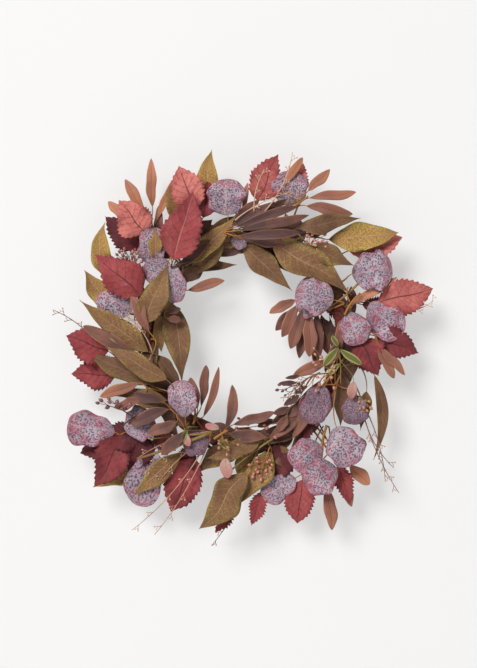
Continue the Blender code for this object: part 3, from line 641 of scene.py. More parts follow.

# %% [markdown]
# ## The sprays
# Each spray is one moulded stem with its leaves, laid from the door outwards. The layout is
# given in millimetres from the centre of the ring, and it is the layout of the CAD
# sprays. A leaf is (tone, base, tip, width, height in front of the joint, tilt of the tip in
# degrees, bow, sideways sweep). The last group of each spray holds small leaves that the
# CAD leaves out.

# %% Layout
# a leaf's tone is partly its dye and partly painted light: lit leaves are given a high tone,
# shaded leaves a low one
SPRAYS = (
    ("red_spray_far_lower_left", "red", (-134, -104), (
        (0.20, (-144, -112), (-193, -130), 38, 0, -4, 2),
        (0.28, (-141, -110), (-176, -168), 42, 5, 2, 3),
        (0.05, (-131, -112), (-108, -140), 30, 2, 0, 2)), ()),
    ("red_spray_bottom_left", "red", (-50, -128), (
        (0.42, (-60, -136), (-89, -197), 45, 2, 0, 3),
        (0.15, (-60, -128), (-84, -146), 26, 0, -4, 2)), ()),
    ("gum_spray_lower_left", "gum", (-146, -108), (
        (0.85, (-152, -105), (-206, -95), 41, 2, 4, 3),
        (0.55, (-139, -104), (-110, -84), 40, 5, 6, 3)), ()),
    ("gum_spray_bottom_left", "gum", (-98, -118), (
        (0.50, (-108, -126), (-124, -190), 43, 2, 0, 4),), ()),
    ("sage_leaf_lower_left", "sage", (-70, -122), (
        (0.55, (-76, -128), (-132, -178), 24, 3, 2, 3),), (
        (0.95, (-120, -145), (-178, -168), 22, -8, -4, 2),)),
    ("copper_spray_upper_left", "copper", (-107, 128), (
        (0.75, (-109, 155), (-111, 210), 12, 2, 6, 2),
        (0.95, (-103, 141), (-83, 188), 9, 5, 4, 1),
        (0.80, (-120, 148), (-141, 187), 13, 1, -4, 2),
        (0.95, (-138, 140), (-161, 161), 11, 0, -6, 1)), (
        (0.25, (-102, 105), (-102, 157), 11, 2, 0, 1),)),
    ("red_spray_left", "red", (-138, -26), (
        (0.50, (-160, -12), (-208, 7), 42, 2, 4, 3),
        (0.45, (-151, -39), (-203, -38), 35, 3, -4, 2),
        (0.05, (-150, -30), (-187, -19), 20, 0, -10, 1)), ()),
    ("sage_spray_far_left", "sage", (-146, 34), (
        (0.95, (-158, 74), (-164, 137), 25, 3, 4, 2, -9),
        (0.75, (-158, 38), (-187, 82), 26, 2, 2, 2)), ()),
    ("sage_spray_left_low", "sage", (-84, -60), (
        (0.25, (-112, -50), (-186, -10), 24, 0, -6, 3),
        (0.45, (-92, -44), (-161, -6), 24, 7, 4, 3),
        (0.30, (-92, -68), (-152, -61), 21, 2, 0, 2)), ()),
    ("red_spray_bottom", "red", (38, -112), (
        (0.05, (42, -120), (26, -166), 40, 0, 0, 3),
        (0.50, (-10, -184), (-37, -221), 18, 0, 4, 2),
        (0.55, (17, -174), (5, -213), 20, 2, 2, 2),
        (0.55, (64, -160), (58, -210), 36, 1, 2, 3)), ()),
    ("copper_spray_lower_right", "copper", (104, -140), (
        (0.60, (92, -168), (99, -218), 15, 2, 2, 2),
        (0.70, (106, -152), (121, -192), 13, 0, -4, 2),
        (0.90, (118, -143), (141, -165), 16, 3, 6, 1)), ()),
    ("copper_spray_left", "copper", (-112, -54), (
        (0.65, (-124, -48), (-168, -64), 13, 2, 0, 1),
        (0.35, (-120, -66), (-152, -76), 12, 1, -4, 1)), ()),
    ("red_spray_upper_left", "red", (-110, 104), (
        (0.12, (-124, 105), (-164, 144), 36, 0, -4, 3),
        (0.95, (-117, 125), (-147, 161), 43, 7, 14, 3)), ()),
    ("sage_spray_top", "sage", (-66, 126), (
        (0.90, (-49, 158), (-41, 221), 28, 0, 2, 3),
        (0.75, (-80, 136), (-84, 188), 26, 4, 4, 3)), ()),
    ("red_spray_top_left", "red", (-58, 134), (
        (0.95, (-60, 150), (-78, 200), 40, 3, 6, 3),
        (0.35, (-50, 142), (-44, 186), 26, 0, -8, 2)), ()),
    ("red_spray_top", "red", (24, 144), (
        (0.72, (12, 162), (36, 215), 38, 3, 4, 3),
        (0.85, (50, 170), (66, 205), 28, 0, 0, 2)), ()),
    ("gum_spray_top_right", "gum", (44, 144), (
        (0.50, (46, 156), (55, 194), 42, 2, 8, 3),), (
        (0.20, (62, 112), (46, 136), 30, -4, 0, 2),)),
    ("gum_spray_top", "gum", (-22, 126), (
        (0.62, (-22, 144), (-26, 185), 44, 3, 10, 3),), (
        (0.30, (-2, 120), (-14, 108), 18, -4, 0, 1),)),
    ("copper_spray_top_right", "copper", (58, 154), (
        (0.75, (70, 172), (95, 197), 12, 2, 0, 2),
        (0.70, (71, 164), (125, 170), 12, 3, 4, 2),
        (0.45, (68, 155), (121, 145), 15, 4, 0, 3),
        (0.90, (44, 180), (64, 211), 10, 0, -6, 1)), (
        (0.85, (-5, 152), (1, 182), 7, -2, 0, 1),)),
    ("sage_spray_upper_right_back", "sage", (52, 124), (
        (0.25, (58, 130), (130, 141), 22, 2, 0, 3),
        (0.30, (74, 108), (122, 86), 24, 0, -2, 2)), ()),
    ("red_spray_upper_right", "red", (106, 98), (
        (0.90, (118, 104), (179, 119), 32, 2, 0, 3),), ()),
    ("sage_spray_upper_right", "sage", (78, 118), (
        (0.95, (94, 117), (174, 124), 33, 4, 6, 4),), ()),
    ("gum_spray_right_high", "gum", (112, 70), (
        (0.60, (121, 77), (166, 85), 46, 4, 12, 4),), ()),
    ("red_spray_right_low", "red", (128, 8), (
        (0.30, (129, 1), (152, -40), 40, 4, 2, 3),
        (0.25, (150, 5), (197, -14), 36, 0, 6, 3)), ()),
    ("copper_spray_right_low", "copper", (142, 12), (
        (0.60, (150, -4), (169, -43), 11, 0, 0, 1),
        (0.55, (154, -8), (181, -39), 10, 2, 4, 1)), ()),
    ("red_spray_right", "red", (124, 44), (
        (0.78, (150, 44), (214, 60), 42, 2, 6, 3),
        (0.10, (133, 42), (168, 41), 20, 0, -6, 2)), ()),
    ("sage_spray_hanging_right", "sage", (124, -26), (
        (0.15, (108, -32), (108, -99), 19, 2, 0, 3),
        (0.30, (147, -40), (146, -138), 13, 3, -4, 3, -10),
        (0.35, (138, -58), (131, -103), 15, 0, 0, 2)), ()),
    ("copper_spray_inner_right", "copper", (104, -30), (
        (0.35, (100, -60), (79, -98), 12, 2, 0, 2),
        (0.15, (84, -46), (41, -104), 15, 1, 0, 2),
        (0.50, (94, -22), (53, -41), 13, 0, 0, 2),
        (0.35, (105, -15), (107, 24), 10, 3, 2, 1)), (
        (0.20, (66, -70), (28, -96), 13, 0, 0, 2),
        (0.30, (78, -72), (52, -112), 12, 2, 0, 2),
        (0.25, (60, -88), (26, -112), 13, 3, 0, 2),
        (0.15, (40, -96), (6, -116), 11, 0, 0, 2))),
    ("gum_spray_lower_right", "gum", (104, -48), (
        (0.18, (88, -52), (68, -94), 34, 3, 0, 3),
        (0.20, (126, -62), (120, -96), 30, 1, -4, 2),
        (0.55, (102, -98), (119, -142), 44, 14, 8, 4)), ()),
    ("gum_spray_bottom_right", "gum", (94, -116), (
        (0.50, (56, -158), (18, -180), 31, 0, 2, 3),
        (0.85, (84, -119), (52, -144), 40, 4, 6, 3),
        (0.90, (103, -146), (66, -164), 42, 12, 6, 3)), ()),
    ("copper_fan_right", "copper", (70, 48), (
        (0.50, (56, 47), (26, 32), 12, 0, 0, 1),
        (0.45, (58, 42), (41, 4), 15, 2, 2, 2),
        (0.25, (64, 36), (50, -9), 15, 4, 0, 2),
        (0.45, (72, 34), (72, -18), 16, 6, 4, 2),
        (0.20, (80, 34), (83, -19), 14, 3, 2, 2)), ()),
    ("gum_spray_far_right", "gum", (126, 46), (
        (0.85, (142, 44), (176, 5), 40, 0, 4, 3),
        (0.85, (118, 33), (128, -4), 36, 5, 6, 3)), ()),
    ("sage_spray_bottom", "sage", (24, -113), (
        (0.60, (28, -128), (-16, -193), 30, 0, 0, 3),
        (0.45, (0, -150), (-53, -217), 38, 8, 4, 4),
        (0.40, (14, -116), (-46, -136), 21, 9, 2, 3)), ()),
    ("gum_spray_upper_left", "gum", (-108, 77), (
        (0.48, (-110, 86), (-108, 131), 34, 2, 2, 3),), ()),
    ("gum_leaf_left", "gum", (-126, 26), (
        (0.55, (-133, 34), (-170, 60), 41, 3, 4, 4),), ()),
    ("red_leaf_left", "red", (-112, 46), (
        (0.62, (-122, 53), (-174, 99), 46, 5, 4, 4),), ()),
    ("sage_spray_inner_left", "sage", (-96, 52), (
        (0.35, (-88, 44), (-76, -49), 31, 0, 0, 3, -4),
        (0.50, (-102, 32), (-98, -13), 17, 3, 0, 2)), ()),
    ("sage_spray_inner_top", "sage", (-82, 70), (
        (0.35, (-62, 76), (-24, 127), 25, 0, 0, 3),
        (0.65, (-66, 90), (-12, 143), 23, 6, 2, 3),
        (0.15, (-74, 72), (-47, 84), 18, 2, -6, 1)), (
        (0.20, (-66, 112), (-40, 140), 20, -3, 0, 2),
        (0.60, (-104, 92), (-106, 130), 16, 2, 0, 2))),
    ("copper_spray_inner_left", "copper", (-78, 70), (
        (0.10, (-79, 84), (-43, 116), 14, 5, 0, 2),
        (0.60, (-68, 58), (-26, 70), 12, 0, 0, 2)), (
        (0.10, (-92, 34), (-76, 37), 9, 0, 0, 1),
        (0.10, (-92, 26), (-76, 24), 8, 0, 0, 1))),
    ("gum_spray_inner_left", "gum", (-86, 98), (
        (0.50, (-90, 92), (-114, 68), 36, 0, 2, 3),
        (0.50, (-86, 88), (-82, 44), 27, 8, 4, 4)), ()),
    ("sage_leaf_inner_left", "sage", (-116, 12), (
        (0.45, (-117, 21), (-90, 91), 32, 5, 2, 4),), ()),
    ("copper_leaf_left", "copper", (-106, 2), (
        (0.45, (-112, 11), (-132, 51), 14, 3, 2, 2),), (
        (0.20, (-118, -22), (-188, 17), 16, -6, -2, 2),)),
    ("sage_leaf_left", "sage", (-104, -18), (
        (0.55, (-114, -12), (-192, 47), 28, 5, 4, 4),), ()),
    ("copper_fan_inner_low", "copper", (-58, -92), (
        (0.30, (-53, -76), (-47, -28), 11, 0, 4, 2),
        (0.40, (-50, -87), (-32, -30), 9, 2, 6, 2, 3),
        (0.35, (-57, -78), (-65, -42), 14, 5, 2, 2)), ()),
    ("gum_leaf_inner_low", "gum", (-69, -97), (
        (0.50, (-71, -87), (-77, -45), 34, 4, 4, 4),), ()),
    ("copper_spray_inner_bottom", "copper", (-29, -108), (
        (0.25, (-25, -102), (-17, -50), 12, 4, 4, 2, 5),
        (0.30, (-16, -96), (32, -82), 12, 2, 0, 2),
        (0.15, (-20, -107), (22, -110), 15, 0, 0, 2)), ()),
    ("red_leaf_front", "red", (-86, 84), (
        (0.55, (-84, 93), (-61, 170), 46, 5, 6, 4),), ()),
    ("sage_spray_right", "sage", (-10, 126), (
        (0.40, (-4, 110), (52, 58), 28, 0, 0, 3),
        (0.45, (28, 117), (121, 55), 38, 8, 2, 4)), ()),
    ("copper_fan_top", "copper", (-26, 124), (
        (0.10, (-18, 131), (28, 157), 11, 0, 2, 2),
        (0.05, (-14, 130), (57, 154), 11, 3, 0, 3),
        (0.15, (-10, 126), (71, 142), 12, 5, 2, 3),
        (0.05, (-10, 120), (60, 124), 12, 7, 2, 3)), ()),
    ("gum_leaf_right", "gum", (111, 43), (
        (0.65, (99, 47), (55, 55), 41, 5, 6, 4),), (
        (0.80, (84, 36), (66, 42), 26, -4, 0, 2),)),
)
PALE_MIDRIBS = ("red_leaf_front",)
print(len(SPRAYS), "sprays,", sum(len(row[3]) + len(row[4]) for row in SPRAYS), "leaves")

# %% [markdown]
# A spray's leaves and stem have to lie where its CAD node lies. The layout fixes everything
# but three things: how far the spray stands off the door, and where its stem leaves the
# ring. The first is read from the node's box, and the other two are the choice whose root
# lies closest to the node.

# %% Where each CAD spray sits
def front_reach(rows):
    """How far the leaves of a spray stand in front of its joint."""
    reach = STEM_RADIUS
    for row in rows:
        line = leaf_line(row, 0.0)
        for i in range(11):
            v = i / 10.0
            arch = 4.0 * v * (1.0 - v)
            place = line["origin"] + line["run"] * v + line["front"] * (line["bow"] * arch)
            reach = max(reach, -place.y)
    return reach


def front_of(name):
    """How far the CAD node stands in front of the door."""
    return -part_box(name)[0].y / MM


def root_of(name, joint, depth):
    """The place on the ring where the CAD spray's stem starts."""
    places = [vert.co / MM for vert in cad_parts[name].data.vertices]
    best = None
    for drop in ROOT_DROPS:
        for shift in ROOT_SHIFTS:
            start = STEM_START_DEPTH + (depth - STEM_START_DEPTH) * drop
            root = ring_place(clock_of(joint) + shift, RING_RADIUS, start)
            gap = min((place - root).length for place in places)
            if best is None or gap < best[0]:
                best = (gap, root)
    return best[1]


def stem_line(root, joint):
    """The stem from the ring to the joint, leaving the ring along the vines."""
    points = []
    for i in range(13):
        t = i / 12.0
        place = root.lerp(joint, t)
        place.y = root.y + (joint.y - root.y) * t * t * (3.0 - 2.0 * t)
        points.append(place)
    return points


# %% Sprays of leaves
def grow_leaves(draft, kind, rows, depth, rng, pale=0.0):
    """Adds cloth leaves: where the stalk of each joins it, and in which direction."""
    grown = [leaf(draft, kind, row, depth, rng, pale) for row in rows]
    draft.thicken()
    return grown


def stalk(draft, start, start_run, base, base_run, tone, radius=PETIOLE_RADIUS):
    """The thin stalk from the joint to a leaf, which goes on under its midrib."""
    points = curve_points(start, start_run, base, base_run, 9)
    points.append(base + base_run.normalized() * STALK_UNDER_LEAF)
    radii = [radius * (1.25 - 0.07 * i) for i in range(len(points))]
    radii[-1] = 0.2
    draft.rod(points, radii, 6, tone)


def make_spray(name, kind, joint, rows, extra):
    """One spray as one piece: stem, stalks and leaves."""
    rng = random.Random(name)
    depth = front_of(name) - front_reach(rows)
    draft = Draft()
    spot = to_world(joint[0], joint[1], depth)
    line = stem_line(root_of(name, joint, depth), spot)
    tone = STEM_TONES[kind]
    grown = grow_leaves(draft, kind, rows + extra, depth, rng, float(name in PALE_MIDRIBS))
    draft.rod(line, [STEM_RADIUS * (1.15 - 0.02 * i) for i in range(len(line))], 8, tone)
    stem_run = line[-1] - line[-2]
    for base, run in grown:
        stalk(draft, spot - stem_run * 0.2, stem_run, base, run, tone)
    draft.finish(name, "wreath", kind, "stem", (name,))
    return depth


DEPTHS = {entry[0]: make_spray(*entry) for entry in SPRAYS}
print("sprays made, joints from", round(min(DEPTHS.values())), "mm to",
      round(max(DEPTHS.values())), "mm")

# %% [markdown]
# ## Small pieces
# Between the sprays sit berries on forked twigs, grass sprigs with budded side twigs, small
# dyed bud leaves, and bare stems. Their joints stand in front of, or behind, a named spray,
# so they keep their layer if the CAD sprays move. Positions are again given in
# millimetres from the ring's centre.

# %% Berry sprigs
# name, joint, spray it stands on, rise, berry area (x, z, x, z), berries, radius, tone
BERRIES = (
    ("bead_sprig_upper_left", (-126, 74), "", 0, (-152, 80, -121, 107), 30, 1.9, 0.25),
    ("bead_sprig_bottom", (26, -122), "", 0, (2, -160, 30, -128), 18, 1.9, 0.55),
    ("berries_top_right", (60, 104), "sage_spray_right", 12, (66, 106, 91, 127), 14, 1.6, 0.5),
    ("berries_inner_right", (104, -30), "copper_spray_inner_right", 10,
     (74, -66, 101, -6), 15, 1.9, 0.6),
    ("berries_right", (124, -48), "sage_spray_hanging_right", 8, (127, -82, 144, -64),
     10, 2.0, 1.0),
    ("berries_inner_low", (66, -48), "copper_spray_inner_right", 4, (34, -68, 60, -48),
     11, 1.7, 0.05),
    ("berries_low", (46, -92), "copper_spray_inner_right", 8, (-12, -114, 34, -88),
     9, 1.9, 0.35),
    ("berries_left", (-128, -88), "copper_spray_left", 5, (-173, -79, -130, -64), 9, 2.2, 0.1),
    ("berries_lower_left", (-30, -104), "copper_spray_inner_bottom", 6,
     (-34, -136, -8, -112), 8, 1.8, 0.5),
)
# how far a berry or grass sprig stands in front of its own stem
SPRIG_REACH = 6.0
TWIG_RADII = (0.75, 0.5, 0.34)


def layer_depth(name, spray, rise):
    """Depth of a small piece: that of its own CAD node, or its spray's plus its rise."""
    if spray:
        return DEPTHS[spray] + rise
    return front_of(name) - SPRIG_REACH


def make_berries(name, joint, spray, rise, area, count, radius, tone):
    """Berries on thin twigs that fork in threes."""
    rng = random.Random(name)
    trunk, branch, twig = TWIG_RADII
    depth = layer_depth(name, spray, rise)
    start = to_world(joint[0], joint[1], depth)
    places = []
    while len(places) < count:
        x = rng.uniform(area[0], area[2])
        z = rng.uniform(area[1], area[3])
        gap = min([math.hypot(x - old.x, z - old[2]) for old, _, _ in places] or [99.0])
        if gap > radius * 1.5 or rng.random() < 0.02:
            place = Vector((x, -depth - rng.uniform(0.0, 5.0), z))
            places.append((place, rng.uniform(0.75, 1.15), rng.uniform(-0.12, 0.12)))
    middle = sum((place for place, _, _ in places), Vector()) / count
    middle = Vector((middle.x, middle.y, middle.z - NAIL_HEIGHT))
    draft = Draft()
    fork = start.lerp(middle, 0.55)
    run = middle - start
    draft.rod(curve_points(start, run + OUTWARDS * 6.0, fork, run, 6), [trunk] * 7, 6, tone * 0.8)
    places.sort(key=lambda entry: math.atan2(entry[0].z - fork.z - NAIL_HEIGHT,
                                             entry[0].x - fork.x))
    for first in range(0, count, 3):
        group = places[first:first + 3]
        ends = [Vector((place.x, place.y, place.z - NAIL_HEIGHT)) for place, _, _ in group]
        split = fork.lerp(sum(ends, Vector()) / len(ends), 0.6)
        draft.rod(curve_points(fork, run, split, split - fork, 4), [branch] * 5, 5, tone * 0.8)
        for end, (_, size, shift) in zip(ends, group):
            way = end - split
            draft.rod(curve_points(split, split - fork, end, way, 3), [twig] * 4, 5, tone * 0.8)
            draft.ball(end, radius * size, way, 1.25, min(max(tone + shift, 0.0), 1.0))
            tip = end + way.normalized() * radius * size * 1.2
            draft.ball(tip, radius * 0.35, way, 1.0, 0.0)
    node = (name,) if not spray else ()
    draft.finish(name, "wreath", "bead", "stem", node)


for entry in BERRIES:
    make_berries(*entry)
print("berry sprigs:", len(BERRIES))

# %% Grass sprigs
# name, spray it stands on, rise, tone, stems as (start, end, bend, side twigs)
GRASSES = (
    ("grass_sprig_bottom_left", "", 0, 0.55, (
        ((-40, -104), (-118, -151), 5, 4), ((-40, -104), (-132, -217), -9, 4),
        ((-40, -106), (-106, -222), -6, 5), ((-40, -104), (-126, -135), 7, 3),
        ((-46, -112), (-100, -160), 4, 3))),
    ("grass_sprig_right", "", 0, 0.22, (
        ((130, -66), (159, -162), -6, 4), ((130, -66), (175, -175), 6, 5),
        ((132, -68), (169, -146), 9, 4))),
    ("grass_left", "sage_leaf_left", 12, 0.7, (
        ((-109, -13), (-139, 29), 5, 8), ((-110, -16), (-124, -34), -3, 4))),
    ("grass_far_left", "red_spray_left", 2, 0.15, (((-170, -6), (-224, 36), 5, 4),)),
    ("grass_top", "copper_fan_top", 5, 0.9, (
        ((-14, 138), (49, 170), -4, 5), ((20, 148), (52, 216), 6, 3),
        ((8, 148), (20, 196), -4, 3))),
    ("grass_bottom", "red_spray_bottom", 4, 0.02, (((6, -160), (-41, -236), -3, 4),)),
    ("grass_far_right", "red_spray_right", 6, 0.9, (((176, 36), (214, 46), 5, 4),)),
    ("grass_inner_right", "copper_spray_inner_right", 8, 0.2, (
        ((84, -36), (46, -66), 4, 7), ((80, -40), (60, -52), 4, 4))),
)
# a side twig leaves its stem at one angle, and its prong turns back by the other
TWIG_ANGLE = 42.0
PRONG_ANGLE = 62.0
PRONG_LENGTH = 4.0


def side_twig(draft, place, run, side, length, tone):
    """A short twig with a fork and a bud at its tip."""
    run = run.normalized()
    turn = Matrix.Rotation(math.radians(TWIG_ANGLE) * side, 3, "Y")
    way = (turn @ run) * length
    end = place + way + OUTWARDS * length * 0.2
    bud_tone = min(1.0, tone + 0.45)
    draft.rod(curve_points(place, run, end, way, 3), [0.42, 0.36, 0.3, 0.26], 5, tone, 0)
    draft.ball(end, 0.8, way, 1.5, bud_tone, 0)
    fork = place.lerp(end, 0.6)
    back = Matrix.Rotation(math.radians(-PRONG_ANGLE) * side, 3, "Y")
    prong = (back @ way).normalized() * PRONG_LENGTH
    draft.rod([fork, fork + prong], [0.3, 0.24], 5, tone, 0)
    draft.ball(fork + prong, 0.65, prong, 1.4, bud_tone, 0)


def make_grass(name, spray, rise, tone, stems):
    """Thin stems whose outer half carries budded side twigs."""
    rng = random.Random(name)
    depth = layer_depth(name, spray, rise)
    draft = Draft()
    for start, end, bend, count in stems:
        first = to_world(start[0], start[1], depth)
        last = to_world(end[0], end[1], depth + rng.uniform(-1.0, 4.0))
        run = last - first
        side = cross_axes(run)[0] * bend
        points = curve_points(first, run + side * 4.0, last, run - side * 4.0, 16)
        draft.rod(points, [0.75 - 0.025 * i for i in range(17)], 6, tone, 0)
        for k in range(count):
            t = 6 + 10.0 * (k + rng.uniform(0.0, 0.6)) / count
            i = min(int(t), 15)
            place = points[i].lerp(points[i + 1], t - i)
            side_twig(draft, place, points[i + 1] - points[i], (-1) ** k,
                      rng.uniform(5.0, 9.0), tone)
    node = (name,) if not spray else ()
    draft.finish(name, "wreath", "grass", None, node)


for entry in GRASSES:
    make_grass(*entry)
print("grass sprigs:", len(GRASSES))

# %% Bud leaves and odd leaves
# name, kind, joint, spray it stands on, rise, leaves
# as in the sprays, a leaf's tone is partly dye and partly painted light
ODD_LEAVES = (
    ("bud_leaves_right", "bud", (106, -14), "copper_spray_inner_right", 12, (
        (1.0, (104, -8), (88, -28), 9, 0, 6, 1), (1.0, (107, -10), (131, -27), 9, 2, 6, 1),
        (1.0, (104, -6), (97, 6), 6, 0, 8, 1), (0.0, (122, -46), (119, -66), 12, 0, 4, 1),
        (1.0, (106, -26), (94, -38), 6, 0, 4, 1))),
    ("bud_leaves_low", "bud", (-28, -110), "sage_spray_bottom", 14, (
        (0.0, (-25, -134), (-22, -157), 14, 0, 6, 1), (1.0, (-34, -110), (-20, -124), 9, 0, 4, 1),
        (0.0, (-32, -100), (-48, -96), 8, 0, 4, 1))),
    ("bud_leaves_lower_left", "bud", (-66, -98), "gum_leaf_inner_low", 8, (
        (1.0, (-68, -102), (-82, -117), 10, 0, 5, 1),
        (0.2, (-72, -104), (-66, -120), 9, 0, 5, 1))),
    ("dark_leaves_inner_right", "copper", (82, -38), "copper_spray_inner_right", 5, (
        (0.0, (62, -40), (44, -43), 5, 0, 4, 1), (0.0, (58, -48), (36, -49), 6, 0, 4, 1),
        (0.0, (70, -52), (54, -60), 7, 1, 4, 1), (0.0, (60, -62), (42, -74), 9, 1, 4, 1),
        (0.15, (50, -76), (30, -84), 9, 1, 4, 1), (0.1, (72, -60), (60, -78), 10, 2, 4, 1),
        (0.3, (46, -84), (36, -104), 11, 2, 4, 1), (0.2, (30, -90), (12, -98), 9, 2, 4, 1))),
    ("copper_leaves_top", "copper", (60, 118), "sage_spray_right", 9, (
        (0.5, (75, 100), (101, 96), 10, 0, 4, 1), (0.3, (54, 116), (30, 108), 11, 0, 4, 1),
        (0.2, (66, 120), (96, 132), 12, -2, 0, 1))),
    ("copper_leaf_right", "copper", (112, 40), "red_spray_upper_right", 4, (
        (0.85, (118, 42), (173, 73), 10, 0, 4, 2),)),
    ("red_leaf_lower_right", "red", (104, -138), "copper_spray_lower_right", 3, (
        (0.5, (106, -143), (119, -188), 22, 0, 0, 2),)),
    ("gum_leaf_right_back", "gum", (96, 36), "copper_fan_right", 2, (
        (0.55, (82, 60), (62, 32), 26, 0, 0, 2),)),
    ("copper_fan_right_back", "copper", (74, 44), "copper_fan_right", -4, (
        (0.15, (60, 40), (33, 12), 14, 0, 0, 2), (0.10, (68, 36), (60, -20), 14, 0, 0, 2),
        (0.30, (86, 30), (95, -16), 13, 0, 0, 2), (0.15, (88, 24), (77, -28), 13, 1, 0, 2))),
    ("copper_fan_top_back", "copper", (-22, 124), "copper_fan_top", -5, (
        (0.10, (-12, 134), (46, 162), 14, 0, 0, 2), (0.05, (0, 128), (68, 134), 14, 0, 0, 2),
        (0.15, (-6, 118), (42, 112), 14, 0, 0, 2), (0.25, (-18, 136), (14, 162), 11, 0, 0, 2))),
    ("red_leaves_lower_left", "red", (-116, -106), "red_spray_far_lower_left", 3, (
        (0.15, (-124, -102), (-166, -122), 36, 0, 0, 3),
        (0.10, (-118, -112), (-136, -154), 34, 2, 0, 3),
        (0.20, (-106, -106), (-82, -126), 26, 0, 0, 2))),
    ("copper_leaves_lower_left", "copper", (-80, -84), "copper_spray_left", 1, (
        (0.10, (-90, -78), (-136, -94), 15, 0, 0, 2),
        (0.30, (-80, -92), (-114, -106), 14, 2, 0, 2),
        (0.05, (-96, -70), (-130, -60), 13, 0, 0, 2),
        (0.20, (-72, -104), (-98, -130), 14, 1, 0, 2))),
    ("sage_leaves_bottom", "sage", (12, -114), "sage_spray_bottom", -6, (
        (0.70, (10, -126), (-12, -182), 26, 0, 0, 2), (0.30, (-6, -116), (-60, -152), 26, 0, 0, 2),
        (0.20, (34, -120), (50, -152), 20, 0, 0, 2))),
    ("gum_leaf_low_back", "gum", (-40, -108), "copper_spray_inner_bottom", -2, (
        (0.10, (-44, -112), (-72, -124), 28, 0, 0, 2),)),
    ("sage_leaves_top", "sage", (-40, 116), "sage_spray_inner_top", 2, (
        (0.3, (-52, 118), (-2, 146), 18, -4, 0, 2), (0.45, (-30, 112), (20, 124), 20, -6, 0, 2))),
)


def make_odd_leaves(name, kind, joint, spray, rise, rows):
    """Leaves on their own stalks from one joint."""
    rng = random.Random(name)
    depth = DEPTHS[spray] + rise
    spot = to_world(joint[0], joint[1], depth)
    draft = Draft()
    root = ring_place(clock_of(joint) - 6.0, RING_RADIUS, STEM_START_DEPTH)
    line = stem_line(root, spot)
    grown = grow_leaves(draft, kind, rows, depth, rng)
    draft.rod(line, [0.8] * len(line), 6, STEM_TONES[kind])
    for base, run in grown:
        stalk(draft, spot, line[-1] - line[-2], base, run, STEM_TONES[kind], 0.5)
    draft.finish(name, "wreath", kind, "stem")


for entry in ODD_LEAVES:
    make_odd_leaves(*entry)
print("odd leaves:", sum(len(entry[5]) for entry in ODD_LEAVES))

# %% Bare stems
# spray it stands on, rise, tone, radius, and the places that it passes
TWIGS = (
    ("gum_spray_far_right", 9, 0.5, 1.3, (112, 30), (118, 45), (130, 55)),
    ("gum_spray_far_right", 9, 0.5, 1.0, (118, 45), (112, 54), (116, 62)),
    ("copper_spray_inner_right", 11, 0.75, 0.7, (106, -12), (108, -30), (107, -50)),
    ("copper_spray_inner_right", 11, 0.75, 0.6, (108, -28), (98, -36), (90, -42)),
    ("copper_spray_inner_right", 11, 0.75, 0.6, (107, -40), (104, -45), (100, -50)),
    ("gum_spray_bottom_right", 3, 0.5, 1.6, (92, -97), (86, -112), (87, -126)),
    ("gum_spray_bottom_right", 4, 0.45, 1.1, (87, -126), (86, -132), (86, -138)),
    ("gum_spray_bottom_right", 2, 0.05, 0.8, (88, -98), (78, -112), (76, -128)),
    ("gum_spray_bottom_right", 2, 0.05, 0.8, (94, -98), (98, -112), (92, -126)),
    ("copper_spray_inner_bottom", 3, 0.8, 1.7, (-40, -104), (-72, -118), (-126, -135)),
    ("copper_spray_inner_bottom", 3, 0.8, 1.3, (-44, -106), (-80, -108), (-112, -112)),
    ("copper_spray_inner_bottom", 6, 0.5, 1.5, (-38, -112), (-30, -106), (-22, -102)),
    ("copper_fan_inner_low", 6, 0.5, 1.4, (-62, -96), (-59, -88), (-60, -78)),
    ("copper_spray_top_right", 4, 0.5, 1.2, (50, 152), (60, 158), (70, 166)),
    ("copper_spray_top_right", 4, 0.5, 1.0, (58, 157), (60, 166), (60, 174)),
    ("gum_leaf_right", -4, 0.7, 1.3, (128, 66), (110, 48), (96, 40)),
    ("sage_spray_bottom", 8, 0.85, 1.1, (30, -112), (4, -128), (-20, -150)),
    ("red_spray_left", 3, 0.03, 1.0, (-136, -30), (-146, -34), (-156, -38)),
    ("copper_spray_left", 2, 0.03, 0.8, (-124, -84), (-140, -92), (-147, -104)),
)


def make_twigs(name, entries):
    draft = Draft()
    for spray, rise, tone, radius, *places in entries:
        depth = DEPTHS[spray] + rise
        first, middle, last = (to_world(x, z, depth) for x, z in places)
        points = curve_points(first, middle - first, last, last - middle, 10)
        radii = [radius * (1.1 - 0.03 * i) for i in range(11)]
        draft.rod(points, radii, 7, tone)
    draft.finish(name, "wreath", "copper", "stem")


make_twigs("bare_stems_right", [entry for entry in TWIGS if entry[4][0] > 20])
make_twigs("bare_stems_left", [entry for entry in TWIGS if entry[4][0] <= 20])

# %% Under layer of leaves
# dark leaves lie along the vines, under the sprays, and hide the ring from the front
GAPS = ((-92, -20), (-52, 129), (112, 107), (105, 88), (110, 80), (155, 52), (155, -6),
        (135, -42), (98, -80), (88, -105), (-123, 88), (-148, -46), (-130, -49))
GAP_RADIUS = 11.0
OPENING_RADIUS = 88.0


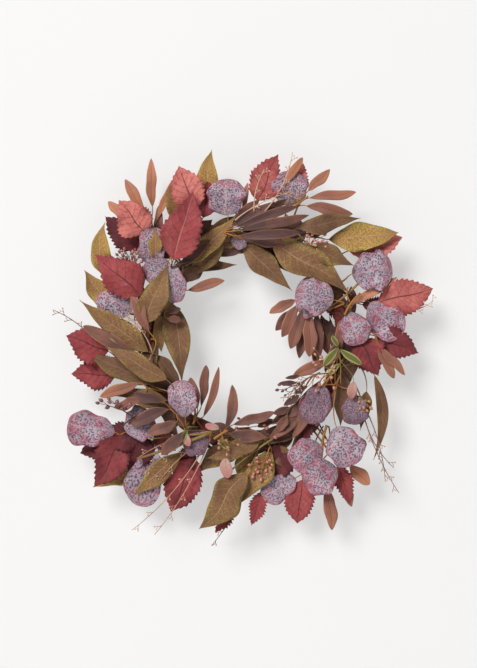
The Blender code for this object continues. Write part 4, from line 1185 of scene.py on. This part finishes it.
def under_leaf(rng, clock):
    """A leaf that lies along the ring, or None where the wreath is open."""
    turn = math.radians(clock)
    radius = RING_RADIUS + rng.uniform(-9.0, 13.0)
    base = Vector((radius * math.sin(turn), radius * math.cos(turn)))
    lean = rng.uniform(-28.0, 34.0)
    ahead = turn + math.radians(90.0 + lean) * rng.choice((1.0, -1.0))
    tip = base + Vector((math.sin(ahead), math.cos(ahead))) * rng.uniform(34.0, 52.0)
    middle = base.lerp(tip, 0.5)
    in_gap = any((middle - Vector(gap)).length < GAP_RADIUS for gap in GAPS)
    if in_gap or tip.length < OPENING_RADIUS:
        return None
    # the low tone is partly dark dye and partly painted shade of leaves that lie under the sprays
    return (rng.uniform(-0.1, 0.35), tuple(base), tuple(tip), rng.uniform(11.0, 17.0),
            rng.uniform(0.0, 5.0), rng.uniform(2.0, 9.0), 2.0)


def make_under_layer(kind, count, offset):
    rng = random.Random(kind)
    name = "under_layer_" + kind
    draft = Draft()
    rows = [under_leaf(rng, 360.0 * (i + offset) / count) for i in range(count)]
    rows = [row for row in rows if row]
    for base, run in grow_leaves(draft, kind, rows, STEM_START_DEPTH - 0.5, rng):
        root = base - run.normalized() * 9.0 - OUTWARDS * 1.5
        stalk(draft, root, run, base, run, STEM_TONES[kind])
    draft.finish(name, "wreath", kind, "stem")
    print(name, len(rows), "leaves")


make_under_layer("sage", 40, 0.0)
make_under_layer("copper", 44, 0.5)
make_under_layer("red", 22, 0.25)

# %% [markdown]
# ## Vine ring, wires and hanging loop
# Three vines are twisted together into the ring. Two turns of dark wire bind them, and one
# wire loop passes round them at the top and twice over the nail.

# %% Ring and wires
BIND_CLOCKS = (118.0, 242.0)
BIND_WIRE_RADIUS = 0.6
BIND_GAP = 0.5
BIND_STEPS = 48
LOOP_WIRE_RADIUS = 0.9
LOOP_GAP = 1.2
LOOP_NAIL_RADIUS = 4.0
LOOP_STEPS = 44
NAIL_STEPS = 18
NAIL_DEPTH = 4.0
VINE_STEPS = 220
VINE_KNOTS = 14


def closed_tube(draft, points, radii, sides, tone=0.5):
    """A rod whose ends meet: a grid rolled up and joined end to end."""
    count = len(points)
    spots = draft.grid(sides, count)
    axes = []
    side = None
    for i in range(count):
        run = (points[(i + 1) % count] - points[i - 1]).normalized()
        if side is None:
            side = cross_axes(run)[0]
        side = (side - run * side.dot(run)).normalized()
        axes.append((side, side.cross(run)))
    first = axes[0][0]
    run = (points[1] - points[-1]).normalized()
    carried = (side - run * side.dot(run)).normalized()
    slip = math.atan2(carried.cross(first).dot(run), carried.dot(first))
    for vert, (u, v) in spots.items():
        i = round(v * count)
        side, front = axes[i % count]
        turn = 2.0 * math.pi * u - slip * (i % count) / count
        ring = side * math.cos(turn) + front * math.sin(turn)
        vert.co = points[i % count] + ring * radii[i % count]
    bmesh.ops.remove_doubles(draft.bm, verts=list(spots), dist=WELD_DISTANCE)
    draft.mark([vert for vert in spots if vert.is_valid], tone)


def make_vine(index):
    """One vine, with knots and a slightly uneven girth."""
    rng = random.Random(index)
    knots = [rng.random() for _ in range(VINE_KNOTS)]
    points, radii = [], []
    for i in range(VINE_STEPS):
        share = i / VINE_STEPS
        twist = 2.0 * math.pi * (VINE_TURNS * share + index / VINE_COUNT)
        points.append(ring_place(360.0 * share, RING_RADIUS + VINE_TWIST_RADIUS * math.cos(twist),
                                 RING_DEPTH + VINE_TWIST_RADIUS * math.sin(twist)))
        knot = max(math.exp(-((share - spot) * 260.0) ** 2) for spot in knots)
        radii.append(VINE_RADIUS * (0.93 + 0.04 * math.sin(share * 57.0 + index) + 0.1 * knot))
    draft = Draft()
    closed_tube(draft, points, radii, 12)
    name = "vine_%d" % (index + 1)
    draft.finish(name, "wreath", "vine", None, (name,))


def make_binding(index, clock_deg):
    """One turn of binding wire round the vines."""
    reach = VINE_TWIST_RADIUS + VINE_RADIUS + BIND_GAP + BIND_WIRE_RADIUS
    points = []
    for i in range(BIND_STEPS):
        angle = 2.0 * math.pi * i / BIND_STEPS
        points.append(ring_place(clock_deg, RING_RADIUS + reach * math.cos(angle),
                                 RING_DEPTH + reach * math.sin(angle)))
    draft = Draft()
    closed_tube(draft, points, [BIND_WIRE_RADIUS] * BIND_STEPS, 8)
    name = "binding_wire_%d" % (index + 1)
    draft.finish(name, "wreath", "wire", None, (name,))


def straight(start, end):
    """The places between two places, without either of them."""
    return [start.lerp(end, k / 9.0) for k in range(1, 9)]


def loop_points():
    """Round the vines in the plane of the nail, then twice over the nail."""
    reach = VINE_TWIST_RADIUS + VINE_RADIUS + LOOP_GAP + LOOP_WIRE_RADIUS
    middle = to_world(0.0, RING_RADIUS, RING_DEPTH)
    around = []
    for i in range(LOOP_STEPS + 1):
        angle = math.radians(-20.0 + 220.0 * i / LOOP_STEPS)
        around.append(middle + Vector((0.0, reach * math.cos(angle), -reach * math.sin(angle))))
    nail = []
    for i in range(NAIL_STEPS + 1):
        angle = math.pi * i / NAIL_STEPS
        nail.append(Vector((-LOOP_NAIL_RADIUS * math.cos(angle), -NAIL_DEPTH,
                            LOOP_NAIL_RADIUS * (math.sin(angle) - 1.0))))
    return (around + straight(around[-1], nail[0]) + nail
            + straight(nail[-1], around[0]) + nail)


for index in range(VINE_COUNT):
    make_vine(index)
for index, clock in enumerate(BIND_CLOCKS):
    make_binding(index, clock)
draft = Draft()
line = loop_points()
closed_tube(draft, line, [LOOP_WIRE_RADIUS] * len(line), 8)
draft.finish("hanging_loop", "hanger", "wire", None, ("hanging_loop",))
print("ring, binding wires and hanging loop made")

# %% [markdown]
# ## Stage, light and camera
# The wreath hangs on a pale wall under soft daylight from the upper left, and a floor lies
# well below. Wall and floor can be seen through from behind.

# %% Stage
# the plain display curve keeps the dyes at the brightness their colours are given with
bpy.context.scene.view_settings.view_transform = "Standard"
# wall and floor glow a little, so that they stay pale while the leaves keep deep shadows
STAGE_GLOW = 0.46
STAGE_SIZE = 9.0


def stage_material(name):
    material, tool, shader = start_material(name, {"Specular IOR Level": 0.1})
    grain = object_place(tool).noise(8.0, 2.0)
    wire(shader, "Base Color", grain.mix(rgb(0.405, 0.405, 0.405), rgb(0.415, 0.415, 0.415)))
    wire(shader, "Roughness", 0.85 + grain * 0.1)
    shader.inputs["Emission Color"].default_value = rgb(1.0, 1.0, 1.0)
    shader.inputs["Emission Strength"].default_value = STAGE_GLOW
    back = tool.node("ShaderNodeNewGeometry", {}, {}, "Backfacing")
    clear = tool.node("ShaderNodeBsdfTransparent", {}, {})
    front = Shade(tool.tree, shader.outputs[0])
    both = tool.node("ShaderNodeMixShader", {}, {0: back, 1: front, 2: clear})
    wire(tool.tree.nodes["Material Output"], "Surface", both)
    return material


def stage_sheet(name, place, upright):
    """A flat square of the stage."""
    bm = bmesh.new()
    bmesh.ops.create_grid(bm, x_segments=1, y_segments=1, size=0.5 * STAGE_SIZE)
    if upright:
        bmesh.ops.rotate(bm, matrix=Matrix.Rotation(math.pi / 2, 3, "X"), verts=bm.verts[:])
    bmesh.ops.translate(bm, vec=place, verts=bm.verts[:])
    mesh = bpy.data.meshes.new(name)
    bm.to_mesh(mesh)
    bm.free()
    mesh.materials.append(stage_material(name))
    sheet = bpy.data.objects.new(name, mesh)
    bpy.context.scene.collection.objects.link(sheet)


stage_sheet("wall", (0.0, 0.004, 0.0), True)
stage_sheet("floor", (0.0, 0.0, -1.6), False)

# %% Lights
# name, place, width in metres, power in watts, colour
LIGHTS = (
    ("key", (-2.8, -5.0, 3.2), 3.2, 455.0, (1.0, 0.982, 0.955)),
    ("fill", (3.2, -5.4, -0.6), 4.0, 28.0, (1.0, 0.97, 0.94)),
    ("back", (0.6, 2.2, 0.9), 1.8, 18.0, (1.0, 1.0, 1.0)),
)
CENTRE = Vector((0.0, 0.0, -NAIL_HEIGHT * MM))
WORLD_LIGHT = 0.10


def area_light(name, place, size, power, colour):
    """A round light that is aimed at the middle of the ring."""
    lamp = bpy.data.lights.new(name, "AREA")
    lamp.shape = "DISK"
    lamp.size = size
    lamp.energy = power
    lamp.color = colour
    holder = bpy.data.objects.new(name, lamp)
    holder.location = place
    holder.rotation_euler = (CENTRE - Vector(place)).to_track_quat("-Z", "Y").to_euler()
    bpy.context.scene.collection.objects.link(holder)


for entry in LIGHTS:
    area_light(*entry)
world = bpy.data.worlds.new("studio")
world.use_nodes = True
background = world.node_tree.nodes["Background"]
background.inputs["Color"].default_value = rgb(1.0, 1.0, 1.0)
background.inputs["Strength"].default_value = WORLD_LIGHT
bpy.context.scene.world = world

# %% Camera
VIEW_HEIGHT = 0.768
VIEW_CENTRE = Vector((-0.0098, 0.0, -0.142))
VIEW_DISTANCE = 2.4
LEAF_DEPTH = 0.04
SENSOR_HEIGHT = 24.0
camera = bpy.data.cameras.new("camera")
camera.sensor_fit = "VERTICAL"
camera.sensor_height = SENSOR_HEIGHT
camera.lens = SENSOR_HEIGHT * (VIEW_DISTANCE - LEAF_DEPTH) / VIEW_HEIGHT
camera_holder = bpy.data.objects.new("camera", camera)
camera_holder.location = VIEW_CENTRE + Vector((0.0, -VIEW_DISTANCE, 0.0))
camera_holder.rotation_euler = (math.pi / 2, 0.0, 0.0)
bpy.context.scene.collection.objects.link(camera_holder)
bpy.context.scene.camera = camera_holder
